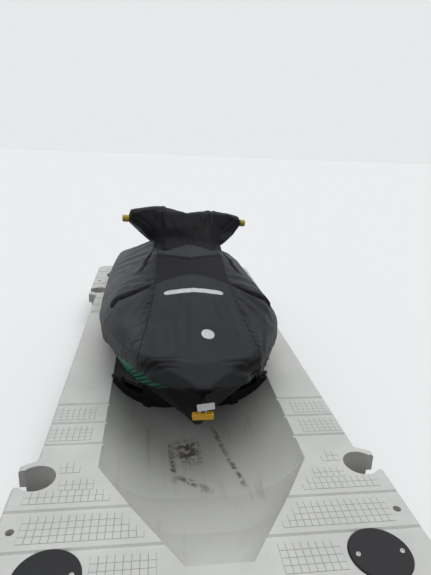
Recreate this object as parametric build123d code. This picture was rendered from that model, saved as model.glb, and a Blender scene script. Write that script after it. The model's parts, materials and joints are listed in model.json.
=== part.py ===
# A three-seat personal watercraft under its fitted storage cover, parked on its drive-on float.
# Millimetres. +X is the bow, +Y is port, +Z is up. The origin is on the floor under the middle of the float.
from build123d import *
from math import cos, pi, radians, sin
import os

os.makedirs("parts", exist_ok=True)

# Fits
SEAT_GAP = 0.3              # between pieces that rest on each other along a curved face
RUN_GAP = 0.1               # round a shaft or a pin
CLEAR = 6                   # between pieces that move past each other

# Float, as seen from above
FLOAT_LENGTH = 4500
FLOAT_HALF_WAIST = 780      # half width between the two pairs of coupling pockets
FLOAT_HALF_END = 850        # half width at both ends
FLOAT_STEP_X = 1215         # where the waist widens to the ends
FLOAT_STEP_RUN = 35
FLOAT_CORNER = 60
FLOAT_HEIGHT = 380
FLANGE_DEPTH = 90           # height of the overhanging rim of the deck
FLANGE_OVERHANG = 28
DECK_EDGE = 11
GROOVE_X = (740, 925, 1110, 1550, 1755, 1990)   # mirrored to the stern half
GROOVE_WIDTH = 28
GROOVE_DEPTH = 9
POCKET_X = 1345             # coupling pockets in the edges
POCKET_R = 84
POCKET_MOUTH = 110
POCKET_INSET = 92           # centre of a pocket from the edge of the float
ROPE_HOLE_X = 1650
ROPE_HOLE_R = 17
ROPE_HOLE_INSET = 60
HATCH_X = FLOAT_LENGTH / 2 - 382
HATCH_Y = 612
HATCH_R = 122
HATCH_THICK = 14
HATCH_SINK = 6
TUNNEL_X = (-1540, -500, 500, 1540)    # round tunnels across the underside
TUNNEL_R = 70

# Trough that the hull lies in
TROUGH_HALF = 495
TROUGH_FLOOR = 178          # height of its flat strip
TROUGH_STRIP = 90           # half width of that strip
TROUGH_FRONT_X = 1290       # where the parallel part ends and the funnel begins
# columns: x, half width, floor height, half width of the strip
FUNNEL = ((1560, 330, 226, 75), (1860, 128, 352, 50))
RAMP_X = -FLOAT_LENGTH / 2 + 350     # where the floor starts to fall to the stern
RAMP_DROP = 60
RAMP_HALF = 215

# Entry rollers in wells of the ramp
ROLLER_X = RAMP_X + 60
ROLLER_R = 42
ROLLER_HALF = 60
ROLLER_PIN_R = 12
ROLLER_WELL_GAP = 8
ROLLER_PIN_HALF = 105

# Bow stop: a saddle for the keel with an arm up each bank of the trough, pinned at both ends
STOP_X = 400
STOP_THICK = 70
STOP_TOP = FLOAT_HEIGHT - 36
STOP_LUG_Y = 425            # the arms end in lugs from here out
STOP_LUG_TOP = FLOAT_HEIGHT - 6
STOP_WINDOW = ((306, 278), (400, 325), (STOP_LUG_Y, 348))     # y, z along the top of an arm
STOP_RIB = (258, 306, 24)   # upright rib: from y, to y, ahead of the saddle
STOP_PIN_X = STOP_X + 52
STOP_PIN_R = 9
STOP_PIN_Y = 446
STOP_PIN_DEEP = 112
STOP_PIN_TOP = 24
STOP_ROD_X = STOP_X + 22
STOP_ROD = ((236, 262), (502, 394))     # y, z of both ends
STOP_ROD_R = 9

# Hull
KEEL_Z = TROUGH_FLOOR
HULL_WALL = 6
BOND_FLANGE = 24            # upright strip above and below the bond line
CHINE_FLAT = 26
TRANSOM_X = -2170

# columns: x, keel z, pad y, pad z, chine y, chine z, bond y, bond z
HULL_STATIONS = (
    (TRANSOM_X, KEEL_Z, 184, KEEL_Z + 18, 424, 345, 545, 520),
    (-1500, KEEL_Z, 184, KEEL_Z + 18, 440, 350, 596, 545),
    (-700, KEEL_Z, 90, KEEL_Z + 14, 444, 355, 612, 575),
    (0, KEEL_Z, 60, KEEL_Z + 12, 436, 372, 592, 625),
    (420, KEEL_Z + 24, 52, KEEL_Z + 38, 395, 420, 530, 662),
    (760, KEEL_Z + 92, 44, KEEL_Z + 110, 290, 500, 402, 700),
    (930, KEEL_Z + 170, 34, KEEL_Z + 192, 190, 570, 310, 712),
    (1050, KEEL_Z + 285, 24, KEEL_Z + 306, 84, 620, 176, 712),
    (1110, KEEL_Z + 390, 16, KEEL_Z + 404, 38, 642, 92, 709),
    (1142, KEEL_Z + 462, 10, KEEL_Z + 470, 16, 658, 40, 706),
)
NOSE_X = HULL_STATIONS[-1][0]

RAIL_HALF = 17              # rubber rail round the bond line
RAIL_PROUD = 16

# Cover over the whole deck: columns: x, ridge y, ridge z, shoulder y, shoulder z, seam y, seam z, crown z
COVER_STATIONS = (
    (-2190, 530, 578, 400, 600, 220, 612, 616),
    (-2060, 565, 605, 430, 640, 230, 672, 682),
    (-1850, 590, 632, 450, 690, 210, 800, 822),
    (-1500, 612, 650, 455, 730, 178, 865, 888),
    (-1000, 622, 664, 450, 745, 176, 862, 882),
    (-620, 620, 680, 440, 775, 190, 885, 905),
    (-420, 616, 688, 435, 850, 222, 1000, 1025),
    (-250, 610, 697, 435, 890, 228, 1085, 1105),
    (0, 596, 712, 440, 900, 218, 1092, 1106),
    (120, 588, 722, 452, 895, 218, 1062, 1090),
    (280, 574, 738, 462, 890, 224, 1004, 1018),
    (420, 548, 750, 462, 885, 238, 962, 976),
    (600, 482, 757, 425, 838, 258, 905, 922),
    (760, 415, 763, 375, 805, 284, 850, 872),
    (930, 330, 768, 322, 778, 310, 786, 812),
    (1050, 188, 752, 182, 758, 170, 764, 776),
    (1110, 108, 742, 102, 747, 90, 752, 756),
    (1142, 60, 733, 54, 737, 42, 741, 744),
    (1164, 36, 727, 31, 731, 24, 734, 736),
)
COVER_THICK = 4
HEM_DROP = 25               # hem below the bond line
HEM_TUCK = 6                # how far the hem draws in under the rail

# Neck of the cover, round the steering column
NECK_HALF = 242
NECK_FOOT = 205             # half width where the neck leaves the cover
NECK_FRONT = 142
NECK_BACK = 182
NECK_CORNER = 76
NECK_DEPTH = 150

# Steering
STEER_TILT = 20             # lean of the column towards the rider
STEER_X = -250
STEER_Z = 1130              # where the column's axis passes the cover's neck
STEER_AT_REST = 7           # handlebar left turned a little to port
NOZZLE_RATIO = -1           # the cable turns the nozzle the other way
HOOD_GAP = 7                # between the neck and the hood over the handlebar
COLUMN_R = 24
COLUMN_BORE = 13
COLUMN_LENGTH = 190
COLUMN_TOP = -45            # along the axis, from the neck
BAR_RISE = 135              # handlebar above the neck, along the column
BAR_R = 11
BAR_BEND_Y = 130
BAR_BEND_R = 90
BAR_SWEEP = 45              # grips behind the clamp
BAR_LIFT = 10               # grips above the clamp
BAR_END_Y = 410
GRIP_R = 17
GRIP_LENGTH = 128
GRIP_TIP = 46               # yellow end past the bar, with its rings
GRIP_LIP = 2
GRIP_RINGS = 4
GRIP_RING_DEEP = 2
LEVER_CLAMP = 26
LEVER_REACH = 105
PAD_HALF = 95

# Hood: columns: y, bottom rise, top rise, half depth at the bottom, half depth at the top, sweep back
HOOD_STATIONS = (
    (0, 0, 200, 160, 60, 20),
    (NECK_HALF - NECK_CORNER, 0, 240, 160, 42, 20),
    (NECK_HALF - 4, 0, 228, 88, 42, 20),
    (330, 58, 202, 72, 42, 22),
    (414, 115, 178, 38, 32, 36),
)
HOOD_THICK = 4

# Deck: columns: x, gunwale y, gunwale z, well y, well z, pedestal y, pedestal z
DECK_STATIONS = (
    (TRANSOM_X, 505, 562, 440, 556, 190, 570),
    (-1900, 545, 588, 470, 565, 180, 620),
    (-1500, 575, 608, 500, 560, 150, 730),
    (-620, 585, 638, 505, 560, 160, 740),
    (-420, 580, 646, 500, 565, 190, 820),
    (-250, 575, 656, 480, 620, 205, 950),
    (0, 562, 675, 470, 645, 205, 985),
    (280, 540, 702, 420, 698, 205, 930),
    (600, 465, 730, 350, 728, 230, 850),
    (800, 372, 740, 300, 738, 235, 785),
    (930, 285, 744, 230, 742, 190, 756),
    (1050, 148, 742, 110, 740, 60, 746),
)
DECK_WALL = 5

# Seats: columns: x, half width at the base, half width at the top, top z
PASSENGER_SEAT = ((-1740, 120, 90, 788), (-1600, 132, 106, 830), (-1300, 136, 112, 848), (-1150, 138, 114, 842))
RIDER_SEAT = ((-1120, 138, 114, 830), (-900, 140, 114, 828), (-640, 138, 104, 852), (-560, 126, 88, 845))
SEAT_CROWN = 10

# Storage lid under the bow of the cover: columns: x, half width, top z
LID = ((300, 165, 985), (420, 180, 948), (600, 200, 892), (800, 205, 836), (900, 185, 798))

# Engine and jet
ENGINE = (-930, -330, 145, 300, 560)    # back, front, half width, bottom, top
STRINGER_Y = 120
STRINGER_WIDTH = 40
JET_Z = 315
RECESS_X = TRANSOM_X + 530   # front wall of the pump's recess
RECESS_HALF = 170
RECESS_TOP = 455
PUMP_BORE = 82
PUMP_WALL = 12
PUMP_BACK_X = RECESS_X - 220
TAIL_START_X = PUMP_BACK_X - 65
TAIL_X = TAIL_START_X - 50
TAIL_BORE = 42
TAIL_WALL = 6
STATOR_X = (PUMP_BACK_X + 10, PUMP_BACK_X + 80)
STATOR_HUB_R = 34
STATOR_COUNT = 7
SHAFT_R = 14
SHAFT_FRONT_X = ENGINE[0]
SEAL_X = RECESS_X + 310
IMPELLER_X = (RECESS_X - 125, RECESS_X - 25)
IMPELLER_HUB_R = 32
IMPELLER_R = 76
BLADE_COUNT = 4
BLADE_THICK = 5
BLADE_PITCH = 230           # travel of a blade's helix in one turn
INTAKE_SLOPE = 22
NOZZLE_PIVOT_X = TAIL_X - 15
NOZZLE_FRONT_X = TAIL_X + 7
NOZZLE_END_X = TAIL_X - 120
NOZZLE_FRONT_R = 62
NOZZLE_END_R = 40
NOZZLE_WALL = 6
PIVOT_PIN_R = 7
LUG_THICK = 12
BUCKET_R = 128
BUCKET_WALL = 5
BUCKET_ARC = (32, 100)      # raised, degrees above the jet's line
PLATE_THICK = 10

# Boarding step, folded up against the transom
STEP_PIVOT_Z = 250
STEP_HALF = 205
STEP_R = 11
STEP_RISE = 215
STEP_BEND = 45
STEP_STAND = 24             # pivot behind the transom
STEP_PIN_R = 6
STEP_EYE_R = 15
STEP_EYE_HALF = 12
STEP_EAR = 5
STEP_PLAY = 1

# Sponsons
SPONSON_X = (-1950, -1200)
SPONSON_Z = (396, 455)
SPONSON_PROUD = 40

# Fittings
EYE_Z = 600
EYE_HALF = 17
EYE_ROD = 5
EYE_REACH = 32
STERN_EYE_Y = 390
STERN_EYE_Z = 455
DRAIN_Y = 262
DRAIN_Z = 300
DRAIN_R = 16
EXHAUST_Y = -300
EXHAUST_Z = 395
EXHAUST_R = 32
EXHAUST_REACH = 26
LOCK_LENGTH = 106
LOCK_SIDE = 32
SHACKLE_R = 5
SHACKLE_HALF = 14


def box_between(x0, x1, y0, y1, z0, z1):
    return Pos((x0 + x1) / 2, (y0 + y1) / 2, (z0 + z1) / 2) * Box(abs(x1 - x0), abs(y1 - y0), abs(z1 - z0))


def rod_x(x0, x1, y, z, r):
    return Pos((x0 + x1) / 2, y, z) * Rot(0, 90, 0) * Cylinder(r, abs(x1 - x0))


def rod_y(x, y0, y1, z, r):
    return Pos(x, (y0 + y1) / 2, z) * Rot(90, 0, 0) * Cylinder(r, abs(y1 - y0))


def rod_z(x, y, z0, z1, r):
    return Pos(x, y, (z0 + z1) / 2) * Cylinder(r, abs(z1 - z0))


def at(table, x):
    """A table's row at x, between its two nearest rows."""
    for low, high in zip(table, table[1:]):
        if x <= high[0]:
            break
    t = (x - low[0]) / (high[0] - low[0])
    return [x] + [a + t * (b - a) for a, b in zip(low[1:], high[1:])]


def ruled_half(sections):
    """A solid through mirrored sections, each an x and the (y, z) points of its port half from the bottom up."""
    wires = []
    for x, half in sections:
        starboard = [(-y, z) for y, z in reversed(half) if y > 0.01]
        wires.append(Wire.make_polygon([Vector(x, y, z) for y, z in list(half) + starboard], close=True))
    return Part() + Solid.make_loft(wires, ruled=True)


def save(shape, name):
    export_step(shape, f"parts/{name}.step")


# Float
def float_outline(inset):
    e, w = FLOAT_HALF_END - inset, FLOAT_HALF_WAIST - inset
    x = FLOAT_LENGTH / 2 - inset
    port = [(FLOAT_STEP_X, w), (FLOAT_STEP_X + FLOAT_STEP_RUN, e), (x - FLOAT_CORNER, e), (x, e - FLOAT_CORNER)]
    bow = port + [(px, -py) for px, py in reversed(port)]
    return make_face(Polyline(bow + [(-px, -py) for px, py in bow], close=True))


def trough_wire(x, half, floor, strip):
    """Across the trough: a flat strip, an arc up to each side of the deck, and a lid above."""
    top = FLOAT_HEIGHT + 60
    mid_y = strip + 0.74 * (half - strip)
    mid_z = floor + 0.40 * (FLOAT_HEIGHT - floor)
    return Wire([
        Edge.make_line((x, -strip, floor), (x, strip, floor)),
        Edge.make_three_point_arc((x, strip, floor), (x, mid_y, mid_z), (x, half, FLOAT_HEIGHT)),
        Edge.make_line((x, half, FLOAT_HEIGHT), (x, half, top)),
        Edge.make_line((x, half, top), (x, -half, top)),
        Edge.make_line((x, -half, top), (x, -half, FLOAT_HEIGHT)),
        Edge.make_three_point_arc((x, -half, FLOAT_HEIGHT), (x, -mid_y, mid_z), (x, -strip, floor)),
    ])


def trough_space():
    """The space over the trough: parallel as far as the funnel, which narrows and climbs to the deck."""
    rows = ((-FLOAT_LENGTH / 2 - 10, TROUGH_HALF, TROUGH_FLOOR, TROUGH_STRIP),
            (TROUGH_FRONT_X, TROUGH_HALF, TROUGH_FLOOR, TROUGH_STRIP), *FUNNEL)
    return Part() + Solid.make_loft([trough_wire(*row) for row in rows], ruled=True)


def groove(x):
    """A shallow groove across the deck at x, with sloping sides."""
    wide, deep, floor = GROOVE_WIDTH / 2, GROOVE_DEPTH, GROOVE_WIDTH / 4
    y, top = FLOAT_HALF_END + 10, FLOAT_HEIGHT
    corners = ((-wide, top + deep), (-wide, top), (-floor, top - deep), (floor, top - deep), (wide, top), (wide, top + deep))
    face = make_face(Polyline([(x + dx, -y, z) for dx, z in corners], close=True))
    return extrude(face, amount=2 * y, dir=(0, 1, 0))


def make_float():
    body = Pos(0, 0, FLOAT_HEIGHT - FLANGE_DEPTH) * extrude(float_outline(0), amount=FLANGE_DEPTH)
    body = chamfer(body.faces().sort_by(Axis.Z)[-1].edges(), DECK_EDGE)
    body += extrude(float_outline(FLANGE_OVERHANG), amount=FLOAT_HEIGHT - FLANGE_DEPTH)
    wide = FLOAT_HALF_END + 10
    for x in TUNNEL_X:
        body -= rod_y(x, -wide, wide, 0, TUNNEL_R)
    for x in GROOVE_X:
        for end in (-1, 1):
            body -= groove(end * x)
    body -= trough_space()
    back = -FLOAT_LENGTH / 2
    slope = RAMP_DROP / (RAMP_X - back)
    ramp = [(x, TROUGH_FLOOR - slope * (RAMP_X - x)) for x in (RAMP_X, back - 10)]
    body -= ruled_half([(x, [(0, z), (RAMP_HALF, z), (RAMP_HALF, FLOAT_HEIGHT - 100), (0, FLOAT_HEIGHT - 100)])
                        for x, z in reversed(ramp)])
    for end in (-1, 1):
        for side in (-1, 1):
            y = side * (FLOAT_HALF_END - POCKET_INSET)
            body -= rod_z(end * POCKET_X, y, -10, FLOAT_HEIGHT + 10, POCKET_R)
            body -= box_between(end * POCKET_X - POCKET_MOUTH / 2, end * POCKET_X + POCKET_MOUTH / 2, y,
                                side * wide, -10, FLOAT_HEIGHT + 10)
            body -= rod_z(end * ROPE_HOLE_X, side * (FLOAT_HALF_END - ROPE_HOLE_INSET), -10, FLOAT_HEIGHT + 10,
                          ROPE_HOLE_R)
            body -= rod_z(end * HATCH_X, side * HATCH_Y, FLOAT_HEIGHT - HATCH_SINK, FLOAT_HEIGHT + 10,
                          HATCH_R + SEAT_GAP)
    well = ROLLER_R + ROLLER_WELL_GAP
    roller_z = roller_axis_z()
    body -= box_between(ROLLER_X - well, ROLLER_X + well, -ROLLER_HALF - ROLLER_WELL_GAP,
                        ROLLER_HALF + ROLLER_WELL_GAP, roller_z - well, TROUGH_FLOOR + 20)
    body -= rod_y(ROLLER_X, -ROLLER_PIN_HALF, ROLLER_PIN_HALF, roller_z, ROLLER_PIN_R + SEAT_GAP)
    for side in (-1, 1):
        body -= rod_z(STOP_PIN_X, side * STOP_PIN_Y, FLOAT_HEIGHT - STOP_PIN_DEEP, FLOAT_HEIGHT + 10,
                      STOP_PIN_R + SEAT_GAP)
    return body


def roller_axis_z():
    return TROUGH_FLOOR - SEAT_GAP - ROLLER_R


def make_hatches():
    covers = Part()
    for end in (-1, 1):
        for side in (-1, 1):
            low = FLOAT_HEIGHT - HATCH_SINK
            disc = rod_z(end * HATCH_X, side * HATCH_Y, low, low + HATCH_THICK, HATCH_R)
            disc = chamfer(disc.edges().sort_by(Axis.Z)[-1], 4)
            covers += disc
    return covers


# Hull
def hull_half(row, inset=0):
    x, keel_z, pad_y, pad_z, chine_y, chine_z, bond_y, bond_z = row
    top = bond_z + (30 if inset else 0)
    return [(0, keel_z + inset), (pad_y * 0.45, keel_z + inset), (pad_y, pad_z + inset),
            (chine_y - inset, chine_z + inset), (chine_y + CHINE_FLAT - inset, chine_z + 8 + inset),
            (bond_y - inset, bond_z - BOND_FLANGE), (bond_y - inset, top), (0, top)]


def hull_solid():
    return ruled_half([(row[0], hull_half(row)) for row in HULL_STATIONS])


def hull_cavity():
    rows = [at(HULL_STATIONS, TRANSOM_X + HULL_WALL + 2)] + [list(r) for r in HULL_STATIONS[1:-2]]
    return ruled_half([(row[0], hull_half(row, HULL_WALL)) for row in rows])


def recess(grow=0):
    return box_between(TRANSOM_X - 50, RECESS_X + grow, -RECESS_HALF - grow, RECESS_HALF + grow,
                       KEEL_Z - 60, RECESS_TOP + grow)


def intake(radius):
    """The duct that slopes up from the bottom of the hull to the pump."""
    length = 620
    slope = Pos(RECESS_X, 0, JET_Z) * Rot(0, 90 + INTAKE_SLOPE, 0) * Pos(0, 0, length / 2 - 20)
    return slope * Cylinder(radius, length)


def make_hull():
    outer = hull_solid()
    solid = outer - recess()
    cavity = hull_cavity() - recess(HULL_WALL)
    cavity -= intake(PUMP_BORE + HULL_WALL)
    cavity -= rod_x(SEAL_X - 60, SEAL_X + 60, 0, JET_Z, SHAFT_R + 22)
    body = solid - cavity
    body -= intake(PUMP_BORE)
    body -= rod_x(RECESS_X - 1, RECESS_X + 30, 0, JET_Z, PUMP_BORE)
    body -= rod_x(RECESS_X, SEAL_X + 80, 0, JET_Z, SHAFT_R + 12)
    back, front, half, low, high = ENGINE
    for side in (-1, 1):
        stringer = box_between(back - 30, front + 30, side * STRINGER_Y - STRINGER_WIDTH / 2,
                               side * STRINGER_Y + STRINGER_WIDTH / 2, KEEL_Z - 20, low)
        body += stringer & outer
    for z in (EYE_Z - EYE_HALF, EYE_Z + EYE_HALF):
        body -= rod_x(NOSE_X - 60, NOSE_X + 40, 0, z, EYE_ROD + SEAT_GAP)
    for side in (-1, 1):
        body -= rod_x(TRANSOM_X - 10, TRANSOM_X + 30, side * DRAIN_Y, DRAIN_Z, DRAIN_R + SEAT_GAP)
        for z in (STERN_EYE_Z - EYE_HALF, STERN_EYE_Z + EYE_HALF):
            body -= rod_x(TRANSOM_X - 10, TRANSOM_X + 50, side * STERN_EYE_Y, z, EYE_ROD + SEAT_GAP)
    body -= rod_x(TRANSOM_X - 10, TRANSOM_X + 30, EXHAUST_Y, EXHAUST_Z, EXHAUST_R - 4)
    return body


# Rail and deck
def rail_half(row, outer, low, high):
    bond_y, bond_z = row[6], row[7]
    y = bond_y + outer
    return [(0, bond_z + low), (y, bond_z + low), (y, bond_z + high), (0, bond_z + high)]


def bond_rows(reach):
    """The hull's rows, with one more behind the transom and one ahead of the nose."""
    first, last = list(HULL_STATIONS[0]), list(HULL_STATIONS[-1])
    behind = [first[0] - reach] + first[1:]
    ahead = [last[0] + reach] + last[1:]
    ahead[6] = last[6] * 0.45
    return [behind] + [list(r) for r in HULL_STATIONS] + [ahead]


def make_rail():
    outer = ruled_half([(r[0], rail_half(r, RAIL_PROUD, -RAIL_HALF, RAIL_HALF)) for r in bond_rows(RAIL_PROUD)])
    inner = ruled_half([(r[0], rail_half(r, SEAT_GAP, -RAIL_HALF - 5, RAIL_HALF + 5)) for r in bond_rows(SEAT_GAP)])
    return outer - inner


def deck_half(row, inset=0):
    x, gunwale_y, gunwale_z, well_y, well_z, seat_y, seat_z = row
    bond = at(HULL_STATIONS, x)
    bond_y, bond_z = bond[6], bond[7]
    t = inset
    return [(0, bond_z - 2 * t), (bond_y - t, bond_z - 2 * t), (bond_y - t, bond_z + BOND_FLANGE),
            (gunwale_y - t / 2, gunwale_z - t), (well_y + t, gunwale_z - t), (well_y - 20 + t, well_z - t),
            (seat_y + 15 - t, well_z - t), (seat_y - t, seat_z - t), (0, seat_z - t)]


def make_deck():
    xs = sorted({r[0] for r in DECK_STATIONS} | {r[0] for r in HULL_STATIONS if r[0] <= DECK_STATIONS[-1][0]})
    rows = [at(DECK_STATIONS, x) for x in xs]
    outer = ruled_half([(r[0], deck_half(r)) for r in rows])
    inner_rows = [at(DECK_STATIONS, rows[0][0] + DECK_WALL)] + rows[1:-1]
    inner = ruled_half([(r[0], deck_half(r, DECK_WALL)) for r in inner_rows])
    return outer - inner - column_tube(SEAT_GAP)


def column_tube(grow=0):
    low = COLUMN_TOP - COLUMN_LENGTH
    return steer_place() * Pos(0, 0, (COLUMN_TOP + low) / 2) * Cylinder(COLUMN_R + grow, COLUMN_LENGTH + 2 * grow)


# Seats and lid
def make_seat(rows):
    sections = []
    for x, base, top, z in rows:
        floor = at(DECK_STATIONS, x)[6]
        sections.append((x, [(0, floor), (base, floor), (top + 12, z - 22), (top, z), (0, z + SEAT_CROWN)]))
    return ruled_half(sections)


def seat_sections(rows):
    """Seat rows, with one more at each deck station between them, so that the base follows the pedestal."""
    low, high = rows[0][0], rows[-1][0]
    xs = sorted({r[0] for r in rows} | {r[0] for r in DECK_STATIONS if low < r[0] < high})
    return [at(rows, x) for x in xs]


def make_lid():
    sections = []
    for x, half, z in seat_sections(LID):
        floor = at(DECK_STATIONS, x)[6]
        sections.append((x, [(0, floor), (half, floor), (half - 8, z - 12), (half - 30, z), (0, z + 6)]))
    return ruled_half(sections)


# Cover
def cover_half(row, inset=0):
    x, ridge_y, ridge_z, shoulder_y, shoulder_z, seam_y, seam_z, crown_z = row
    t = inset
    bond = cover_bond(x)
    rail_y = bond[6] + RAIL_PROUD + SEAT_GAP + COVER_THICK - t
    bond_z = bond[7]
    low = bond_z - HEM_DROP - (5 if t else 0)
    return [(0, low), (rail_y - HEM_TUCK, low), (rail_y, bond_z - RAIL_HALF), (rail_y, bond_z + RAIL_HALF),
            (ridge_y - t, ridge_z), (shoulder_y - t, shoulder_z - t * 0.6), (seam_y - t * 0.4, seam_z - t),
            (0, crown_z - t)]


def cover_bond(x):
    rows = bond_rows(RAIL_PROUD + SEAT_GAP + COVER_THICK + 60)
    rows[-1] = bond_rows(RAIL_PROUD)[-1]
    if x > rows[-1][0]:
        return rows[-1]
    return at(rows, x)


def cover_sections(inset):
    back = TRANSOM_X - RAIL_PROUD - SEAT_GAP - COVER_THICK
    front = NOSE_X + RAIL_PROUD + SEAT_GAP + COVER_THICK
    xs = {r[0] for r in COVER_STATIONS} | {r[0] for r in HULL_STATIONS}
    xs = sorted(x for x in xs if back + 20 < x < front - 2)
    ends = [back + inset] + xs + [NOSE_X + RAIL_PROUD] + [front - inset]
    ends = sorted(set(ends))
    return [(x, cover_half(at(COVER_STATIONS, x), inset)) for x in ends]


def steer_place():
    """The steering's own frame: z along the column, x forward, its origin where the axis passes the neck."""
    return Pos(STEER_X, 0, STEER_Z) * Rot(0, -STEER_TILT, 0)


def neck_outline(grow, level, half):
    """A rounded oblong square to the column."""
    sketch = RectangleRounded(NECK_FRONT + NECK_BACK + 2 * grow, 2 * (half + grow), NECK_CORNER + grow)
    return Pos((NECK_FRONT - NECK_BACK) / 2, 0, level) * sketch


def neck(grow, over=0):
    """The flared neck that rises to the hood, with its ends a little over when it cuts."""
    foot = neck_outline(grow, -NECK_DEPTH - over, NECK_FOOT)
    return steer_place() * loft([foot, neck_outline(grow, over, NECK_HALF)], ruled=True)


def make_cover():
    inside = ruled_half(cover_sections(COVER_THICK))
    shell = ruled_half(cover_sections(0)) - inside
    hollow = neck(-COVER_THICK, over=10)
    return shell - hollow + (neck(0) - inside - hollow)


# Hood over the handlebar, in the steering's own frame
def hood_wire(row, side, inset=0):
    y, low, high, low_depth, high_depth, back = row
    t = inset
    low -= 30 if inset and low == 0 else -t
    corner = 0.35
    points = [(low_depth - t, low), (low_depth - t, low + 0.3 * (high - low)), (high_depth - t, high - 18 - t),
              (high_depth * corner, high - t), (-high_depth * corner, high - t), (-high_depth + t, high - 18 - t),
              (-low_depth + t, low + 0.3 * (high - low)), (-low_depth + t, low)]
    y = y - (t if row is HOOD_STATIONS[-1] else 0)
    return Wire.make_polygon([Vector(f - back, side * y, s) for f, s in points], close=True)


def hood_solid(inset):
    rows = [(row, -1) for row in reversed(HOOD_STATIONS[1:])] + [(row, 1) for row in HOOD_STATIONS]
    return Part() + Solid.make_loft([hood_wire(row, side, inset) for row, side in rows], ruled=True)


def make_hood():
    hood = hood_solid(0) - hood_solid(HOOD_THICK)
    for side in (-1, 1):
        hood -= Pos(0, 0, -HOOD_GAP) * grip_place(side) * Cylinder(GRIP_R + GRIP_LIP + SEAT_GAP, 120)
    return steer_place() * Pos(0, 0, HOOD_GAP) * Rot(0, 0, STEER_AT_REST) * hood


# Handlebar, in the steering's own frame
def bar_points(side):
    return [(0, 0, BAR_RISE), (0, side * BAR_BEND_Y, BAR_RISE), (-BAR_SWEEP, side * BAR_END_Y, BAR_RISE + BAR_LIFT)]


def steered(shape):
    return steer_place() * Rot(0, 0, STEER_AT_REST) * shape


def grip_place(side, ahead=None):
    """A grip's frame: z out along the bar, its origin at the bar's end, its x as given."""
    bend, end = Vector(*bar_points(side)[1]), Vector(*bar_points(side)[2])
    return Plane(origin=end, x_dir=ahead, z_dir=(end - bend).normalized()).location


def make_bar():
    points = list(reversed(bar_points(-1))) + bar_points(1)[1:]
    path = FilletPolyline(*[p for p in points if p != (0, 0, BAR_RISE)], radius=BAR_BEND_R)
    return steered(sweep(Plane(origin=path @ 0, z_dir=path % 0) * Circle(BAR_R), path=path))


def make_grips():
    grips = Part()
    for side in (-1, 1):
        sleeve = Pos(0, 0, -GRIP_LENGTH / 2) * Cylinder(GRIP_R, GRIP_LENGTH) - Pos(0, 0, -GRIP_LENGTH / 2) * Cylinder(
            BAR_R, GRIP_LENGTH)
        tip = Pos(0, 0, GRIP_TIP / 2) * Cylinder(GRIP_R + GRIP_LIP, GRIP_TIP)
        tip = fillet(tip.edges().group_by(Axis.Z)[-1], 4)
        pitch = GRIP_TIP / (GRIP_RINGS + 1)
        for ring in range(1, GRIP_RINGS + 1):
            cut = Cylinder(GRIP_R + 20, pitch * 0.35) - Cylinder(GRIP_R + GRIP_LIP - GRIP_RING_DEEP, pitch)
            tip -= Pos(0, 0, ring * pitch) * cut
        grips += grip_place(side) * (sleeve + tip)
    return steered(grips)


def make_levers():
    levers = Part()
    inner = -GRIP_LENGTH - 8 - LEVER_CLAMP
    for side in (-1, 1):
        clamp = Pos(0, 0, inner + LEVER_CLAMP / 2) * (Cylinder(BAR_R + 10, LEVER_CLAMP) - Cylinder(BAR_R, LEVER_CLAMP))
        bracket = Pos(BAR_R + 14, 0, inner + LEVER_CLAMP / 2) * Box(18, 16, LEVER_CLAMP)
        blade = Pos(BAR_R + 18, 0, inner + LEVER_REACH / 2) * Box(10, 14, LEVER_REACH)
        levers += grip_place(side, ahead=(1, 0, 0)) * (clamp + bracket + fillet(blade.edges().filter_by(Axis.Y), 3))
    return steered(levers)


def make_stem():
    low = COLUMN_TOP - COLUMN_LENGTH
    stem = Pos(0, 0, (low + BAR_RISE - BAR_R - 16) / 2) * Cylinder(COLUMN_BORE - RUN_GAP, BAR_RISE - BAR_R - 16 - low)
    stem += Pos(0, 0, COLUMN_TOP + 6) * Cylinder(COLUMN_R, 12 - 2 * RUN_GAP)
    clamp = Pos(0, 0, BAR_RISE) * Box(56, 76, 2 * BAR_R + 32) - rod_y(0, -60, 60, BAR_RISE, BAR_R)
    clamp = fillet(clamp.edges().filter_by(Axis.Z), 8)
    return steered(stem + clamp)


def make_pad():
    low = BAR_RISE + BAR_R + 16
    pad = Pos(-4, 0, low + 12) * Box(84, 2 * PAD_HALF, 24)
    return steered(fillet(pad.edges().group_by(Axis.Z)[-1], 9))


def make_column():
    """The bearing tube that the stem turns in, held in the deck's cowl."""
    bore = Pos(0, 0, COLUMN_TOP - COLUMN_LENGTH / 2) * Cylinder(COLUMN_BORE, COLUMN_LENGTH + 2)
    return column_tube() - steer_place() * bore


# Jet
def turned(profile):
    """A ring turned about the jet's line from (x, radius) points."""
    face = make_face(Polyline([(x, 0, JET_Z + r) for x, r in profile], close=True))
    return Part() + revolve(face, Axis((0, 0, JET_Z), (1, 0, 0)))


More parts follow.
